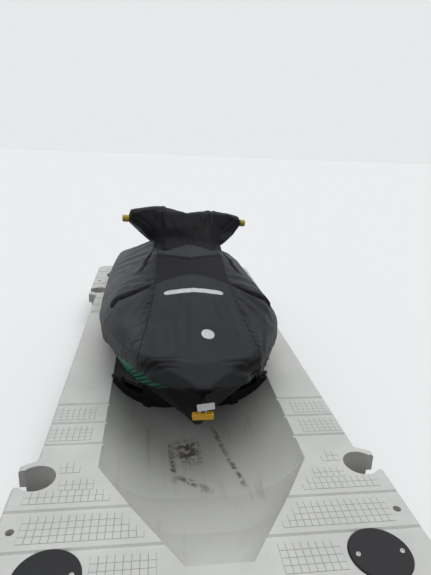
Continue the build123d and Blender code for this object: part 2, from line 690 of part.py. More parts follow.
def make_pump():
    bore, out, flange = PUMP_BORE, PUMP_BORE + PUMP_WALL, PUMP_BORE + PUMP_WALL + 12
    front, tail = RECESS_X - SEAT_GAP, TAIL_BORE + TAIL_WALL
    pump = turned([(front, bore), (front, flange), (front - 14, flange), (front - 14, out), (PUMP_BACK_X, out),
                   (TAIL_START_X, tail), (TAIL_X, tail), (TAIL_X, TAIL_BORE), (TAIL_START_X, TAIL_BORE),
                   (PUMP_BACK_X, bore)])
    hub_back, hub_front = STATOR_X
    pump += turned([(hub_back - 56, 0), (hub_back - 56, 8), (hub_back, STATOR_HUB_R), (hub_front, STATOR_HUB_R),
                    (hub_front, 0)])
    for i in range(STATOR_COUNT):
        vane = box_between(hub_back + 6, hub_front - 6, -3, 3, STATOR_HUB_R - 4, bore + 4)
        pump += Pos(0, 0, JET_Z) * Rot(360 * i / STATOR_COUNT, 0, 0) * vane
    pump -= rod_x(hub_front - 50, hub_front + 10, 0, JET_Z, SHAFT_R + RUN_GAP)
    for turn in range(4):
        lug = box_between(NOZZLE_PIVOT_X - 15, PUMP_BACK_X + 20, -15, 15, bore, bore + LUG_THICK)
        reach = (NOZZLE_FRONT_R + 1, out) if turn % 2 == 0 else (bore, bucket_half() + 6)
        lug += rod_z(NOZZLE_PIVOT_X, 0, *reach, PIVOT_PIN_R)
        pump += Pos(0, 0, JET_Z) * Rot(90 * turn, 0, 0) * lug
    return pump


def bucket_half():
    return PUMP_BORE + LUG_THICK + CLEAR + BUCKET_WALL


def make_nozzle():
    front, end, wall = NOZZLE_FRONT_X, NOZZLE_END_X, NOZZLE_WALL
    throat = NOZZLE_PIVOT_X - 16
    nozzle = turned([(front, NOZZLE_FRONT_R), (front, NOZZLE_FRONT_R + wall), (throat, NOZZLE_FRONT_R + wall),
                     (end, NOZZLE_END_R + wall), (end, NOZZLE_END_R), (throat, NOZZLE_FRONT_R)])
    nozzle -= rod_z(NOZZLE_PIVOT_X, 0, JET_Z - 100, JET_Z + 100, PIVOT_PIN_R + RUN_GAP)
    return nozzle.rotate(Axis((NOZZLE_PIVOT_X, 0, JET_Z), (0, 0, 1)), NOZZLE_RATIO * STEER_AT_REST)


def bucket_wedge():
    """The slice of space that the raised bucket fills, seen from the side."""
    far = 3 * BUCKET_R
    low, high = BUCKET_ARC
    corners = [(0, 0)] + [(-far * cos(radians(a)), far * sin(radians(a))) for a in (low, (low + high) / 2, high)]
    face = make_face(Polyline([(NOZZLE_PIVOT_X + x, -300, JET_Z + z) for x, z in corners], close=True))
    return extrude(face, amount=600, dir=(0, 1, 0))


def make_bucket():
    half, outer = bucket_half(), BUCKET_R + BUCKET_WALL
    full = rod_y(NOZZLE_PIVOT_X, -half, half, JET_Z, outer)
    hollow = rod_y(NOZZLE_PIVOT_X, -half + BUCKET_WALL, half - BUCKET_WALL, JET_Z, BUCKET_R)
    bucket = (full - hollow) & bucket_wedge()
    for side in (-1, 1):
        bucket += rod_y(NOZZLE_PIVOT_X, side * (half - BUCKET_WALL), side * half, JET_Z, 3 * PIVOT_PIN_R)
    return bucket - rod_y(NOZZLE_PIVOT_X, -half - 5, half + 5, JET_Z, PIVOT_PIN_R + RUN_GAP)


def blade_section(x, turn):
    """Across one blade at x: a thin radial strip, turned on by the blade's pitch."""
    angle = turn + 2 * pi * (x - IMPELLER_X[0]) / BLADE_PITCH
    corners = ((IMPELLER_HUB_R - 6, -1), (IMPELLER_R, -1), (IMPELLER_R, 1), (IMPELLER_HUB_R - 6, 1))
    points = []
    for r, side in corners:
        t = side * BLADE_THICK / 2
        points.append(Vector(x, r * sin(angle) + t * cos(angle), JET_Z + r * cos(angle) - t * sin(angle)))
    return Wire.make_polygon(points, close=True)


def make_impeller():
    back, front = IMPELLER_X
    impeller = turned([(back, SHAFT_R + RUN_GAP), (back, IMPELLER_HUB_R), (front - 20, IMPELLER_HUB_R - 2),
                       (front, SHAFT_R + 5), (front, SHAFT_R + RUN_GAP)])
    slices = 5
    low, high = back + 6, front - 24
    for i in range(BLADE_COUNT):
        turn = 2 * pi * i / BLADE_COUNT
        wires = [blade_section(low + (high - low) * k / slices, turn) for k in range(slices + 1)]
        impeller += Solid.make_loft(wires, ruled=True)
    return impeller


def make_shaft():
    back = STATOR_X[1] - 45
    return rod_x(back, SHAFT_FRONT_X - 1, 0, JET_Z, SHAFT_R)


def make_seal():
    carrier = rod_x(SEAL_X - 50, SEAL_X + 80, 0, JET_Z, SHAFT_R + 12 - SEAT_GAP)
    return carrier - rod_x(SEAL_X - 60, SEAL_X + 90, 0, JET_Z, SHAFT_R + RUN_GAP)


def make_grate():
    x0, x1 = RECESS_X + 90, RECESS_X + 620
    grate = Part()
    for y in (-42, -14, 14, 42):
        grate += box_between(x0, x1, y - 5, y + 5, KEEL_Z + 1, KEEL_Z + 17)
    for x in (RECESS_X + 220, RECESS_X + 460):
        grate += box_between(x - 6, x + 6, -90, 90, KEEL_Z + 5, KEEL_Z + 15)
    return grate & intake(PUMP_BORE - SEAT_GAP)


def make_ride_plate():
    low = KEEL_Z + 18
    half = RECESS_HALF - SEAT_GAP
    plate = box_between(TRANSOM_X + 14, RECESS_X - SEAT_GAP, -half, half, low, low + PLATE_THICK)
    plate = fillet(plate.edges().filter_by(Axis.Z).sort_by(Axis.X)[:2], 40)
    for y in (-100, 100):
        plate += box_between(TRANSOM_X + 60, RECESS_X - 60, y - 5, y + 5, low - 8, low)
    return plate


# Fittings on the hull
def hull_side(x, z):
    row = at(HULL_STATIONS, x)
    y0, z0, y1, z1 = row[4] + CHINE_FLAT, row[5] + 8, row[6], row[7] - BOND_FLANGE
    return y0 + (z - z0) / (z1 - z0) * (y1 - y0)


def make_sponsons():
    low, high = SPONSON_Z
    xs = [SPONSON_X[0]] + [r[0] for r in HULL_STATIONS if SPONSON_X[0] < r[0] < SPONSON_X[1]] + [SPONSON_X[1]]
    sponsons = Part()
    for side in (-1, 1):
        wires = []
        for x in xs:
            y0, y1 = hull_side(x, low) + SEAT_GAP, hull_side(x, high) + SEAT_GAP
            proud = SPONSON_PROUD if x != xs[-1] else SPONSON_PROUD * 0.45
            points = [(y0, low), (y0 + proud, low), (y0 + proud + 4, low + 14), (y1 + 6, high), (y1, high)]
            wires.append(Wire.make_polygon([Vector(x, side * y, z) for y, z in points], close=True))
        sponsons += Solid.make_loft(wires, ruled=True)
    return sponsons


def u_bolt(x, y, z, ahead):
    """A bent rod with two legs into the hull and a round end, ahead (1) or behind (-1)."""
    foot, crown = x - ahead * 40, x + ahead * (EYE_REACH - EYE_HALF)
    path = Wire([
        Edge.make_line((foot, y, z - EYE_HALF), (crown, y, z - EYE_HALF)),
        Edge.make_three_point_arc((crown, y, z - EYE_HALF), (crown + ahead * EYE_HALF, y, z), (crown, y, z + EYE_HALF)),
        Edge.make_line((crown, y, z + EYE_HALF), (foot, y, z + EYE_HALF)),
    ])
    return sweep(Plane(origin=(foot, y, z - EYE_HALF), z_dir=(ahead, 0, 0)) * Circle(EYE_ROD), path=path)


def make_drains():
    plugs = Part()
    for side in (-1, 1):
        plugs += rod_x(TRANSOM_X, TRANSOM_X + HULL_WALL, side * DRAIN_Y, DRAIN_Z, DRAIN_R)
        plugs += rod_x(TRANSOM_X - 8, TRANSOM_X, side * DRAIN_Y, DRAIN_Z, DRAIN_R + 6)
        plugs -= box_between(TRANSOM_X - 9, TRANSOM_X - 4, side * DRAIN_Y - 2, side * DRAIN_Y + 2, DRAIN_Z - 18,
                             DRAIN_Z + 18)
    return plugs


def make_exhaust():
    outlet = rod_x(TRANSOM_X - EXHAUST_REACH, TRANSOM_X, EXHAUST_Y, EXHAUST_Z, EXHAUST_R)
    outlet += rod_x(TRANSOM_X - 5, TRANSOM_X, EXHAUST_Y, EXHAUST_Z, EXHAUST_R + 12)
    return outlet - rod_x(TRANSOM_X - 100, TRANSOM_X + 1, EXHAUST_Y, EXHAUST_Z, EXHAUST_R - 4)


def make_engine():
    back, front, half, low, high = ENGINE
    block = box_between(back, front, -half, half, low, high)
    return chamfer(block.edges().filter_by(Axis.X), 30)


# Boarding step
def step_pivot_x():
    return TRANSOM_X - STEP_STAND


def make_step():
    x, low, high = step_pivot_x(), STEP_PIVOT_Z, STEP_PIVOT_Z + STEP_RISE
    path = FilletPolyline((x, -STEP_HALF, low), (x, -STEP_HALF, high), (x, STEP_HALF, high), (x, STEP_HALF, low),
                          radius=STEP_BEND)
    step = sweep(Plane(origin=path @ 0, z_dir=path % 0) * Circle(STEP_R), path=path)
    for side in (-1, 1):
        step += rod_y(x, side * STEP_HALF - STEP_EYE_HALF, side * STEP_HALF + STEP_EYE_HALF, low, STEP_EYE_R)
        step -= rod_y(x, side * STEP_HALF - 40, side * STEP_HALF + 40, low, STEP_PIN_R + RUN_GAP)
    return step


def make_step_brackets():
    x, z = step_pivot_x(), STEP_PIVOT_Z
    brackets = Part()
    for side in (-1, 1):
        y, inner, outer = side * STEP_HALF, STEP_EYE_HALF + STEP_PLAY, STEP_EYE_HALF + STEP_PLAY + STEP_EAR
        brackets += box_between(TRANSOM_X - 6, TRANSOM_X, y - outer - 8, y + outer + 8, z - 22, z + 22)
        for ear in (-1, 1):
            y0, y1 = y + ear * inner, y + ear * outer
            brackets += box_between(x, TRANSOM_X - 5, y0, y1, z - 13, z + 13)
            brackets += rod_y(x, y0, y1, z, 13)
        brackets += rod_y(x, y - outer - 3, y + outer + 3, z, STEP_PIN_R)
    return brackets


# Float fittings
def stop_block(thick):
    """The trough's section above its floor, as thick as given."""
    section = Face(trough_wire(STOP_X, TROUGH_HALF - SEAT_GAP, TROUGH_FLOOR + SEAT_GAP, TROUGH_STRIP))
    return extrude(section, amount=thick, dir=(1, 0, 0))


def stop_rod(side, radius):
    """A rod down over an arm, from outside its lug into the rib."""
    inner, outer = (Vector(STOP_ROD_X, side * y, z) for y, z in STOP_ROD)
    axis = outer - inner
    return Plane(origin=(inner + outer) * 0.5, z_dir=axis.normalized()).location * Cylinder(radius, axis.length)


def make_stop():
    wide, above = TROUGH_HALF + 10, FLOAT_HEIGHT + 100
    front = STOP_X + STOP_THICK
    near, far, ahead = STOP_RIB
    stop = stop_block(STOP_THICK) - box_between(STOP_X - 1, front + 1, -wide, wide, STOP_LUG_TOP, above)
    stop -= box_between(STOP_X - 1, front + 1, -STOP_LUG_Y, STOP_LUG_Y, STOP_TOP, above)
    for side in (-1, 1):
        corners = [*STOP_WINDOW, (STOP_LUG_Y, above), (STOP_WINDOW[0][0], above)]
        window = make_face(Polyline([(STOP_X - 1, side * y, z) for y, z in corners], close=True))
        stop -= extrude(window, amount=STOP_THICK + 2, dir=(1, 0, 0))
        stop += stop_block(STOP_THICK + ahead) & box_between(STOP_X, front + ahead, side * near, side * far, 0, STOP_TOP)
    stop -= Pos(0, 0, -SEAT_GAP) * hull_solid()
    for side in (-1, 1):
        stop -= rod_z(STOP_PIN_X, side * STOP_PIN_Y, 0, above, STOP_PIN_R + SEAT_GAP)
        stop -= stop_rod(side, STOP_ROD_R + SEAT_GAP)
    return stop


def make_stop_pins():
    """Upright pins through the lugs into the float, and the rods that hold the arms."""
    pins = Part()
    for side in (-1, 1):
        pins += rod_z(STOP_PIN_X, side * STOP_PIN_Y, FLOAT_HEIGHT - STOP_PIN_DEEP, STOP_LUG_TOP, STOP_PIN_R)
        pins += rod_z(STOP_PIN_X, side * STOP_PIN_Y, STOP_LUG_TOP, STOP_LUG_TOP + STOP_PIN_TOP, STOP_PIN_R + 4)
        pins += stop_rod(side, STOP_ROD_R)
    return pins


def make_roller():
    roller = rod_y(ROLLER_X, -ROLLER_HALF, ROLLER_HALF, roller_axis_z(), ROLLER_R)
    roller = chamfer(roller.edges(), 6)
    return roller - rod_y(ROLLER_X, -ROLLER_HALF - 5, ROLLER_HALF + 5, roller_axis_z(), ROLLER_PIN_R + RUN_GAP)


def make_roller_pin():
    return rod_y(ROLLER_X, -ROLLER_PIN_HALF, ROLLER_PIN_HALF, roller_axis_z(), ROLLER_PIN_R)


# Lock on the bow eye
def lock_place():
    """Where the shackle's legs meet the block: under the eye's lower leg."""
    return NOSE_X + EYE_REACH - EYE_HALF, EYE_Z - EYE_HALF + EYE_ROD + SHACKLE_R + SEAT_GAP


def make_lock():
    x, crown = lock_place()
    top = crown - SHACKLE_HALF - 14
    block = box_between(x - LOCK_SIDE / 2, x + LOCK_SIDE / 2, -LOCK_LENGTH / 2, LOCK_LENGTH / 2, top - LOCK_SIDE, top)
    block = chamfer(block.edges(), 4)
    for side in (-1, 1):
        block -= rod_z(x, side * SHACKLE_HALF, top - 18, top + 5, SHACKLE_R + SEAT_GAP)
    return block


def make_shackle():
    x, crown = lock_place()
    spring, foot = crown - SHACKLE_HALF, crown - SHACKLE_HALF - 14 - 16
    path = Wire([
        Edge.make_line((x, -SHACKLE_HALF, foot), (x, -SHACKLE_HALF, spring)),
        Edge.make_three_point_arc((x, -SHACKLE_HALF, spring), (x, 0, crown), (x, SHACKLE_HALF, spring)),
        Edge.make_line((x, SHACKLE_HALF, spring), (x, SHACKLE_HALF, foot)),
    ])
    return sweep(Plane(origin=(x, -SHACKLE_HALF, foot), z_dir=(0, 0, 1)) * Circle(SHACKLE_R), path=path)


save(make_float(), "dock_float")
save(make_hatches(), "hatch_covers")
save(make_hull(), "hull")
save(make_rail(), "rub_rail")
save(make_deck(), "deck")
save(make_seat(seat_sections(RIDER_SEAT)), "rider_seat")
save(make_seat(seat_sections(PASSENGER_SEAT)), "passenger_seat")
save(make_lid(), "storage_lid")
save(make_cover(), "cover_body")
save(make_hood(), "cover_hood")
save(make_bar(), "handlebar")
save(make_grips(), "grips")
save(make_levers(), "levers")
save(make_stem(), "steering_stem")
save(make_pad(), "bar_pad")
save(make_column(), "steering_column")
save(make_pump(), "jet_pump")
save(make_nozzle(), "steering_nozzle")
save(make_bucket(), "reverse_bucket")
save(make_impeller(), "impeller")
save(make_shaft(), "drive_shaft")
save(make_seal(), "shaft_seal")
save(make_grate(), "intake_grate")
save(make_ride_plate(), "ride_plate")
save(make_sponsons(), "sponsons")
save(u_bolt(NOSE_X, 0, EYE_Z, 1), "bow_eye")
save(u_bolt(TRANSOM_X, -STERN_EYE_Y, STERN_EYE_Z, -1) + u_bolt(TRANSOM_X, STERN_EYE_Y, STERN_EYE_Z, -1), "stern_eyes")
save(make_drains(), "drain_plugs")
save(make_exhaust(), "exhaust_outlet")
save(make_engine(), "engine_block")
save(make_step(), "boarding_step")
save(make_step_brackets(), "step_brackets")
save(make_stop(), "bow_stop")
save(make_stop_pins(), "stop_pins")
save(make_roller(), "entry_roller")
save(make_roller_pin(), "roller_pin")
save(make_lock(), "lock_block")
save(make_shackle(), "lock_shackle")
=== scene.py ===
import bpy
import bmesh
import json
import random
from math import radians, pi, sin, cos, atan2, hypot
import numpy as np
from mathutils import Vector, Matrix, noise
from mathutils.bvhtree import BVHTree


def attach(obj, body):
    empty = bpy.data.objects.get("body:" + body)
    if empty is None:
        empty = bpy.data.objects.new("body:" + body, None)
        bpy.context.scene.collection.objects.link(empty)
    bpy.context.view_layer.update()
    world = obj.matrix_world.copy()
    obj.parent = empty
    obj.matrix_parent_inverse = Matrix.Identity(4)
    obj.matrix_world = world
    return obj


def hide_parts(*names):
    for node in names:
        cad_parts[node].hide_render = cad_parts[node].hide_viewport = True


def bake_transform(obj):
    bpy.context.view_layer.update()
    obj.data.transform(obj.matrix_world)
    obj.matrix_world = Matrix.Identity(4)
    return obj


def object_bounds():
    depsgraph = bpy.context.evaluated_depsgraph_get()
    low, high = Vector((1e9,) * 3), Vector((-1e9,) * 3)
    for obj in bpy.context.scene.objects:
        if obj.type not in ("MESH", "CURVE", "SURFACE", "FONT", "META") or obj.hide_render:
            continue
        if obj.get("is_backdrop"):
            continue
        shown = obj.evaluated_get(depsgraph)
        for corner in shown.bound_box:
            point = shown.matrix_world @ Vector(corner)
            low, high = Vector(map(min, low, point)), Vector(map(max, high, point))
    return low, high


# Covered personal watercraft on its drive-on float. Metres, +X to the bow, +Y to port, +Z up.
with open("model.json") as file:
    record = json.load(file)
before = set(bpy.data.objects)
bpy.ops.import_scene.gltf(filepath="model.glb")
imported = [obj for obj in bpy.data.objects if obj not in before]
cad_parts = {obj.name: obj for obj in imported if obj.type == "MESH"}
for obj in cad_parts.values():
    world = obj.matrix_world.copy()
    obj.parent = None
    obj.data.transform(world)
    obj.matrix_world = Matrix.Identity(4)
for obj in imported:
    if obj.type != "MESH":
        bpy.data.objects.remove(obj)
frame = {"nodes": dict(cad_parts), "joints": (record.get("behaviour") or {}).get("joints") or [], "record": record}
nodes = frame["nodes"]
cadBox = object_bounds()
print("frame loaded,", len(nodes), "nodes")


# shared helpers

def intoScene(name, data):
    piece = bpy.data.objects.new(name, data)
    bpy.context.collection.objects.link(piece)
    return piece


def finishMesh(bm, name, body, material, smooth=True):
    # the piece is attached to its body when one is given
    mesh = bpy.data.meshes.new(name)
    bm.to_mesh(mesh)
    bm.free()
    piece = intoScene(name, mesh)
    for polygon in mesh.polygons:
        polygon.use_smooth = smooth
    mesh.materials.append(material)
    if body:
        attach(piece, body)
    return piece


def soften(bm, verts, passes=1):
    for _ in range(passes):
        bmesh.ops.smooth_vert(bm, verts=verts, factor=0.5, use_axis_x=True, use_axis_y=True, use_axis_z=True)


def meshCo(mesh):
    points = np.empty(len(mesh.vertices) * 3)
    mesh.vertices.foreach_get("co", points)
    return points.reshape(-1, 3)


def treeOf(mesh, points):
    return BVHTree.FromPolygons([Vector(p) for p in points], [tuple(p.vertices) for p in mesh.polygons])


# where a point that falls from above meets a surface
def fallOnto(tree, x, y):
    return tree.ray_cast(Vector((x, y, 3)), Vector((0, 0, -1)))[0]


# from 0 at start to 1 a run further on; a negative run goes the other way
def ramp(value, start, run):
    return np.clip((value - start) / run, 0, 1)


def bell(value, width):
    return np.exp(-(value / width) ** 2)


def eased(share):
    return share * share * (3 - 2 * share)


# helpers for materials; inputs go by their labels or their numbers

def newMaterial(name):
    material = bpy.data.materials.new(name)
    material.use_nodes = True
    return material, material.node_tree, material.node_tree.nodes["Principled BSDF"]


def feed(tree, node, inputs):
    # a number or a colour is set, and an output is linked
    for label, value in inputs.items():
        socket = node.inputs[label]
        if isinstance(value, (int, float)):
            socket.default_value = value
        elif isinstance(value, tuple):
            socket.default_value = (*value, 1)[:len(socket.default_value)]
        else:
            tree.links.new(value, socket)


def addNode(tree, kind, inputs, **properties):
    node = tree.nodes.new("ShaderNode" + kind)
    for key, value in properties.items():
        setattr(node, key, value)
    feed(tree, node, inputs)
    return node


def mathNode(tree, operation, *values, clamp=False):
    return addNode(tree, "Math", dict(enumerate(values)), operation=operation, use_clamp=clamp).outputs[0]


def combine(tree, operation, first, *others):
    for other in others:
        first = mathNode(tree, operation, first, other)
    return first


def times(tree, *values):
    return combine(tree, "MULTIPLY", *values)


def mixColours(tree, factor, first, second):
    return addNode(tree, "Mix", {0: factor, 6: first, 7: second}, data_type="RGBA").outputs[2]


def rising(tree, value, low, high):
    return addNode(tree, "MapRange", {0: value, 1: low, 2: high}, interpolation_type="SMOOTHSTEP").outputs[0]


def falling(tree, value, low, high):
    return mathNode(tree, "SUBTRACT", 1.0, rising(tree, value, low, high))


def placeOf(tree, kind="Object"):
    # the place on a piece, and its x, y and z
    place = addNode(tree, "TexCoord", {}).outputs[kind]
    return place, *addNode(tree, "SeparateXYZ", {0: place}).outputs


def noiseAt(tree, place, scale, detail, roughness, distortion=0.0):
    return addNode(tree, "TexNoise", {"Vector": place, "Scale": scale, "Detail": detail,
                                      "Roughness": roughness, "Distortion": distortion}).outputs["Fac"]


def attributeOf(tree, label):
    return addNode(tree, "Attribute", {}, attribute_name=label).outputs["Fac"]


def bumpInto(tree, shader, height, distance):
    bump = addNode(tree, "Bump", {"Strength": 1.0, "Distance": distance, "Height": height})
    feed(tree, shader, {"Normal": bump.outputs[0]})


# shader groups used by several materials

def newGroup(name, inputs, *outputs):
    group = bpy.data.node_groups.new(name, "ShaderNodeTree")
    for label, value in inputs.items():
        socket = group.interface.new_socket(name=label, in_out="INPUT", socket_type="NodeSocketFloat")
        socket.default_value = value
    for label in outputs:
        group.interface.new_socket(name=label, in_out="OUTPUT", socket_type="NodeSocketFloat")
    return group, group.nodes.new("NodeGroupInput").outputs, group.nodes.new("NodeGroupOutput")


def makeSurfaceGroup():
    group, given, result = newGroup("surfaceGrain", {"Grain Scale": 400.0, "Patch Scale": 3.0},
                                    "Grain", "Patches")
    place = placeOf(group)[0]
    for scale, label, detail in (("Grain Scale", "Grain", 2.0), ("Patch Scale", "Patches", 5.0)):
        feed(group, result, {label: noiseAt(group, place, given[scale], detail, 0.6)})
    return group


def makeWeaveGroup():
    group, given, result = newGroup("wovenThreads", {"Threads": 900.0}, "Height")
    x, y, z = placeOf(group)[1:]
    waves = [mathNode(group, "SINE", times(group, value, given["Threads"]))
             for value in (x, mathNode(group, "ADD", y, z))]
    feed(group, result, {"Height": mathNode(group, "MULTIPLY_ADD", times(group, *waves), 0.5, 0.5)})
    return group


surfaceGrain = makeSurfaceGroup()
wovenThreads = makeWeaveGroup()


# a material with grain, whose roughness changes over large patches, by spread in all
def grainedMaterial(name, grainScale, patchScale, roughness, spread):
    material, tree, shader = newMaterial(name)
    grain, patches = addNode(tree, "Group", {"Grain Scale": grainScale, "Patch Scale": patchScale},
                             node_tree=surfaceGrain).outputs
    feed(tree, shader, {"Roughness": mathNode(tree, "MULTIPLY_ADD", patches, spread, roughness - spread / 2)})
    return material, tree, shader, grain, patches


plainLook = {"spread": 0.12, "patches": (0.3, 0.7)}


def plainFinish(name, colour, roughness, grain=(500, 0.0003), patchScale=4.0, metallic=0.0, coat=0.0,
                shade=0.75, specular=0.5):
    # grain is its scale and its depth; the patches are darker by shade
    look = plainLook
    scale, depth = grain
    material, tree, shader, height, patches = grainedMaterial(name, scale, patchScale, roughness,
                                                              look["spread"])
    dark = tuple(c * shade for c in colour)
    colour = mixColours(tree, rising(tree, patches, *look["patches"]), dark, colour)
    feed(tree, shader, {"Base Color": colour, "Metallic": metallic, "Coat Weight": coat,
                        "Specular IOR Level": specular})
    bumpInto(tree, shader, height, depth)
    return material


# the storage cover: one sheet over the deck, and a hood that crosses the steering's joint

coverSizes = {
    "bowSpacing": 0.0085,  # of the mesh ahead of the seats
    "sternSpacing": 0.022,
    "bowStart": -0.62,
    "columns": 196,  # across the top, from gunwale to gunwale
    "skirtRows": 9,  # from the gunwale down to the hem
    "hemRoll": ((0.005, -0.004), (0.011, -0.001), (0.012, 0.012)),  # inwards, up
    "rollHeight": 0.0435,  # of the solid's own hem, which a station's gunwale stands above
    "stationPoints": 60,  # at least, at a station
    "softening": 5,  # smoothing passes over the creases
    "bowSoftening": 150,  # more of them towards the bow, which turns round into the hem
    "bowFrom": 0.84,
    "bowTo": 1.04,
    "hemDrop": (1.06, 0.07, 0.012),  # the hem hangs lower about this x: middle, spread, depth
    "portDrop": (0.87, 0.14, 0.040),  # and to port also here
    "hemFlare": (0.95, 0.12, 0.030),  # and stands out from the bow: from x, over, by
    "noseLift": (1.10, 0.06, 0.020),
    "ringFrom": 0.90,  # from here to the bow each row of the skirt is rounded, over this reach
    "ringRun": 0.08,
    "ringReach": 0.050,
    "ringOut": 0.003,
    "railFrom": 0.60,  # the rub rail stays this far inside from here to the bow
    "railClear": 0.004,
    "neckInside": 0.03,  # the sheet reaches this far in under the hood
    "neckHalf": (0.162, 0.205),  # half length and half width of the neck
    "neckZone": (0.252, -0.50, -0.085),  # half width, back and front of the place round it
}

# seams as (x, half width) points
sideSeam = ((-0.40, 0.222), (-0.25, 0.228), (0.03, 0.212), (0.28, 0.224), (0.42, 0.238), (0.60, 0.258),
            (0.76, 0.284), (0.95, 0.322))
seatSeam = ((-2.16, 0.215), (-1.85, 0.210), (-1.50, 0.178), (-1.00, 0.176), (-0.62, 0.190), (-0.40, 0.222))
seamWelts = ((0, 0.006, 0.0028), (0.012, 0.007, -0.002))    # away from the seam, width, height
# creases that bend from the middle to each side seam, and run out a little past their reach
ledgeEdge = {"middle": 0.125, "corner": 0.030, "reach": 0.212, "power": 1.0, "past": 0.012,
             "welts": ((0, 0.012, 0.0065), (0.030, 0.014, -0.003))}
arcSeam = {"middle": 0.285, "corner": 0.375, "reach": 0.232, "power": 2.0, "past": 0.012,
           "welts": ((0, 0.008, 0.003), (-0.012, 0.008, -0.003))}
bowSeam = {"middle": 1.045, "corner": 0.95, "reach": 0.322, "power": 1.2, "past": 0.010,
           "welts": ((0, 0.010, 0.003),)}
seamLines = ("sideLine", "arcLine", "gunwaleLine")
lineFar = 0.05    # the value of a seam's line where that seam is not near

# folds in the sheet: from x, y to x, y, width, height; both sides get the first list, a little changed
sideFolds = (
    (0.92, 0.335, 0.60, 0.42, 0.022, 0.005), (0.90, 0.36, 0.52, 0.49, 0.018, 0.004),
    (0.45, 0.26, 0.62, 0.43, 0.020, 0.005), (0.42, 0.30, 0.50, 0.50, 0.022, 0.006),
    (0.52, 0.27, 0.74, 0.36, 0.015, 0.003),
    (0.36, 0.25, 0.20, 0.55, 0.024, 0.006), (0.28, 0.25, 0.04, 0.56, 0.028, 0.005),
    (0.18, 0.25, -0.12, 0.54, 0.030, 0.004), (0.08, 0.25, -0.26, 0.50, 0.026, 0.004),
    (0.33, 0.30, 0.34, 0.54, 0.018, 0.004), (0.24, 0.40, 0.10, 0.57, 0.018, 0.003),
    (-0.08, 0.26, -0.42, 0.50, 0.030, 0.006), (-0.30, 0.26, -0.62, 0.46, 0.034, 0.009),
    (-0.50, 0.24, -0.80, 0.54, 0.034, 0.009), (-0.80, 0.20, -1.02, 0.56, 0.040, 0.009),
    (-1.10, 0.20, -1.24, 0.56, 0.040, 0.010), (-1.42, 0.20, -1.40, 0.56, 0.040, 0.009),
    (-1.66, 0.22, -1.60, 0.55, 0.040, 0.010), (-1.90, 0.24, -2.06, 0.52, 0.030, 0.008),
)
portFolds = (
    (0.965, 0.312, 1.085, 0.150, 0.0075, 0.0065), (0.945, 0.322, 1.060, 0.195, 0.0075, 0.0070),
    (0.925, 0.333, 1.030, 0.235, 0.0070, 0.0055), (0.985, 0.290, 1.045, 0.100, 0.0080, 0.0035),
    (0.900, 0.345, 0.990, 0.280, 0.0060, 0.0035),
)
starboardFolds = (
    (0.965, 0.308, 1.010, 0.110, 0.0085, 0.0055), (0.985, 0.296, 1.040, 0.130, 0.0080, 0.0060),
    (1.000, 0.275, 1.075, 0.120, 0.0075, 0.0045), (0.940, 0.325, 1.030, 0.225, 0.0070, 0.0040),
)
# soft lengthwise folds in the front panel: y, width, height, lean
panelFolds = ((-0.115, 0.020, 0.0030, 0.02), (-0.030, 0.026, 0.0042, -0.03), (0.050, 0.018, 0.0034, 0.03),
              (0.125, 0.022, 0.0038, 0.10), (0.175, 0.014, 0.0026, 0.16), (-0.165, 0.014, 0.0022, -0.10))
slitFlap = {"inner": (0.352, 0.233), "outer": (0.380, 0.492), "lift": 0.020, "sink": 0.014, "fade": 0.06,
            "mouth": 0.0085}
neckSlit = {"inner": (-0.160, 0.240), "outer": (0.110, 0.322), "lift": 0.012, "sink": 0.008, "fade": 0.04,
            "mouth": 0.0065}
ledgeRise = {"from": 0.115, "run": 0.225, "height": 0.034, "reach": 0.215,
             "back": -0.3}  # up to the foot of the hood

# how much paler painted light and weathering make parts of the sheet, and how much darker painted shade makes
# others
coverTones = {
    # the ledge: painted light, as it faces the sky
    "ledge": 0.27,
    # the flanks behind the slits: paler with weathering
    "starboard": 0.85,
    "port": 0.35,
    # the whole starboard side: painted light
    "starboardLeast": 0.50,
    # the steep part and the nose: painted shade
    "steep": 0.80,
    "nose": 0.30,
    # where each begins, and the run over which it grows: sideways, and the flanks along x too
    "ledgeSide": (0.235, -0.02),
    "flankSide": (0.27, 0.08),
    "flankTo": (0.36, -0.25),
    "leastSide": (0.27, 0.05),
    "steepSide": (0.232, -0.012),
    "edges": {"ledge": 0.006, "steep": 0.012, "nose": 0.05},  # how soft their edges are along x
}
# what the sheet does of its own besides its folds
coverRuffle = {
    "waves": ((0.0032, 4.0, 3), (0.0012, 13.0, 9)),  # height, scale and seed of the noise
    # the dark beside the folds is painted shade
    "ownFolds": (1.35, 1.7),  # how much of the folds' height, and of the dark beside them
    "sideFolds": (1, 0.55),
    "puckers": (1, 0.9),
    "puckered": (0.30, 0.93),  # from and to x along the side seam
    "moved": 0.022,  # at most, from a fold's place in the list
    "gathers": 0.0045,
    "gatherRates": (150, 17, 61),  # of the waves along the hem, their wander, and the waves that break them
    "gathersLeast": 0.10,  # share of them at the bow
    "panelWaves": 0.0022,
    "panelRates": (95, 5),
    "noseDip": 0.009,
    # where each begins along x, and the run over which it grows
    "gathersTo": (1.0, -0.15),
    "wavesFrom": (0.30, 0.1),
    "wavesTo": (1.0, -0.2),
    "foldsFrom": (0.47, 0.10),
    "foldsTo": (0.98, -0.40),
    "seamTo": (0.97, -0.03),
    "heldFlat": 0.92,  # share of all this that the trim takes away
}

# plain pale trim: a strip ahead of the arc seam, and a disc nearer the bow
trimSizes = {
    "middle": 0.448,
    "bend": 0.55,
    "half": 0.180,
    "width": 0.042,
    "disc": (0.832, 0.050),
    "discRadius": 0.036,
    "above": 0.0010,
    "thick": 0.0010,
    "flatStrip": 0.05,  # the cloth is held flat this far round each, and past the strip's ends
    "flatDisc": 0.055,
    "flatEnds": 0.03,
}

bodyMesh = nodes["cover_body"].data
bodyPoints = meshCo(bodyMesh)
bodyTree = treeOf(bodyMesh, bodyPoints)


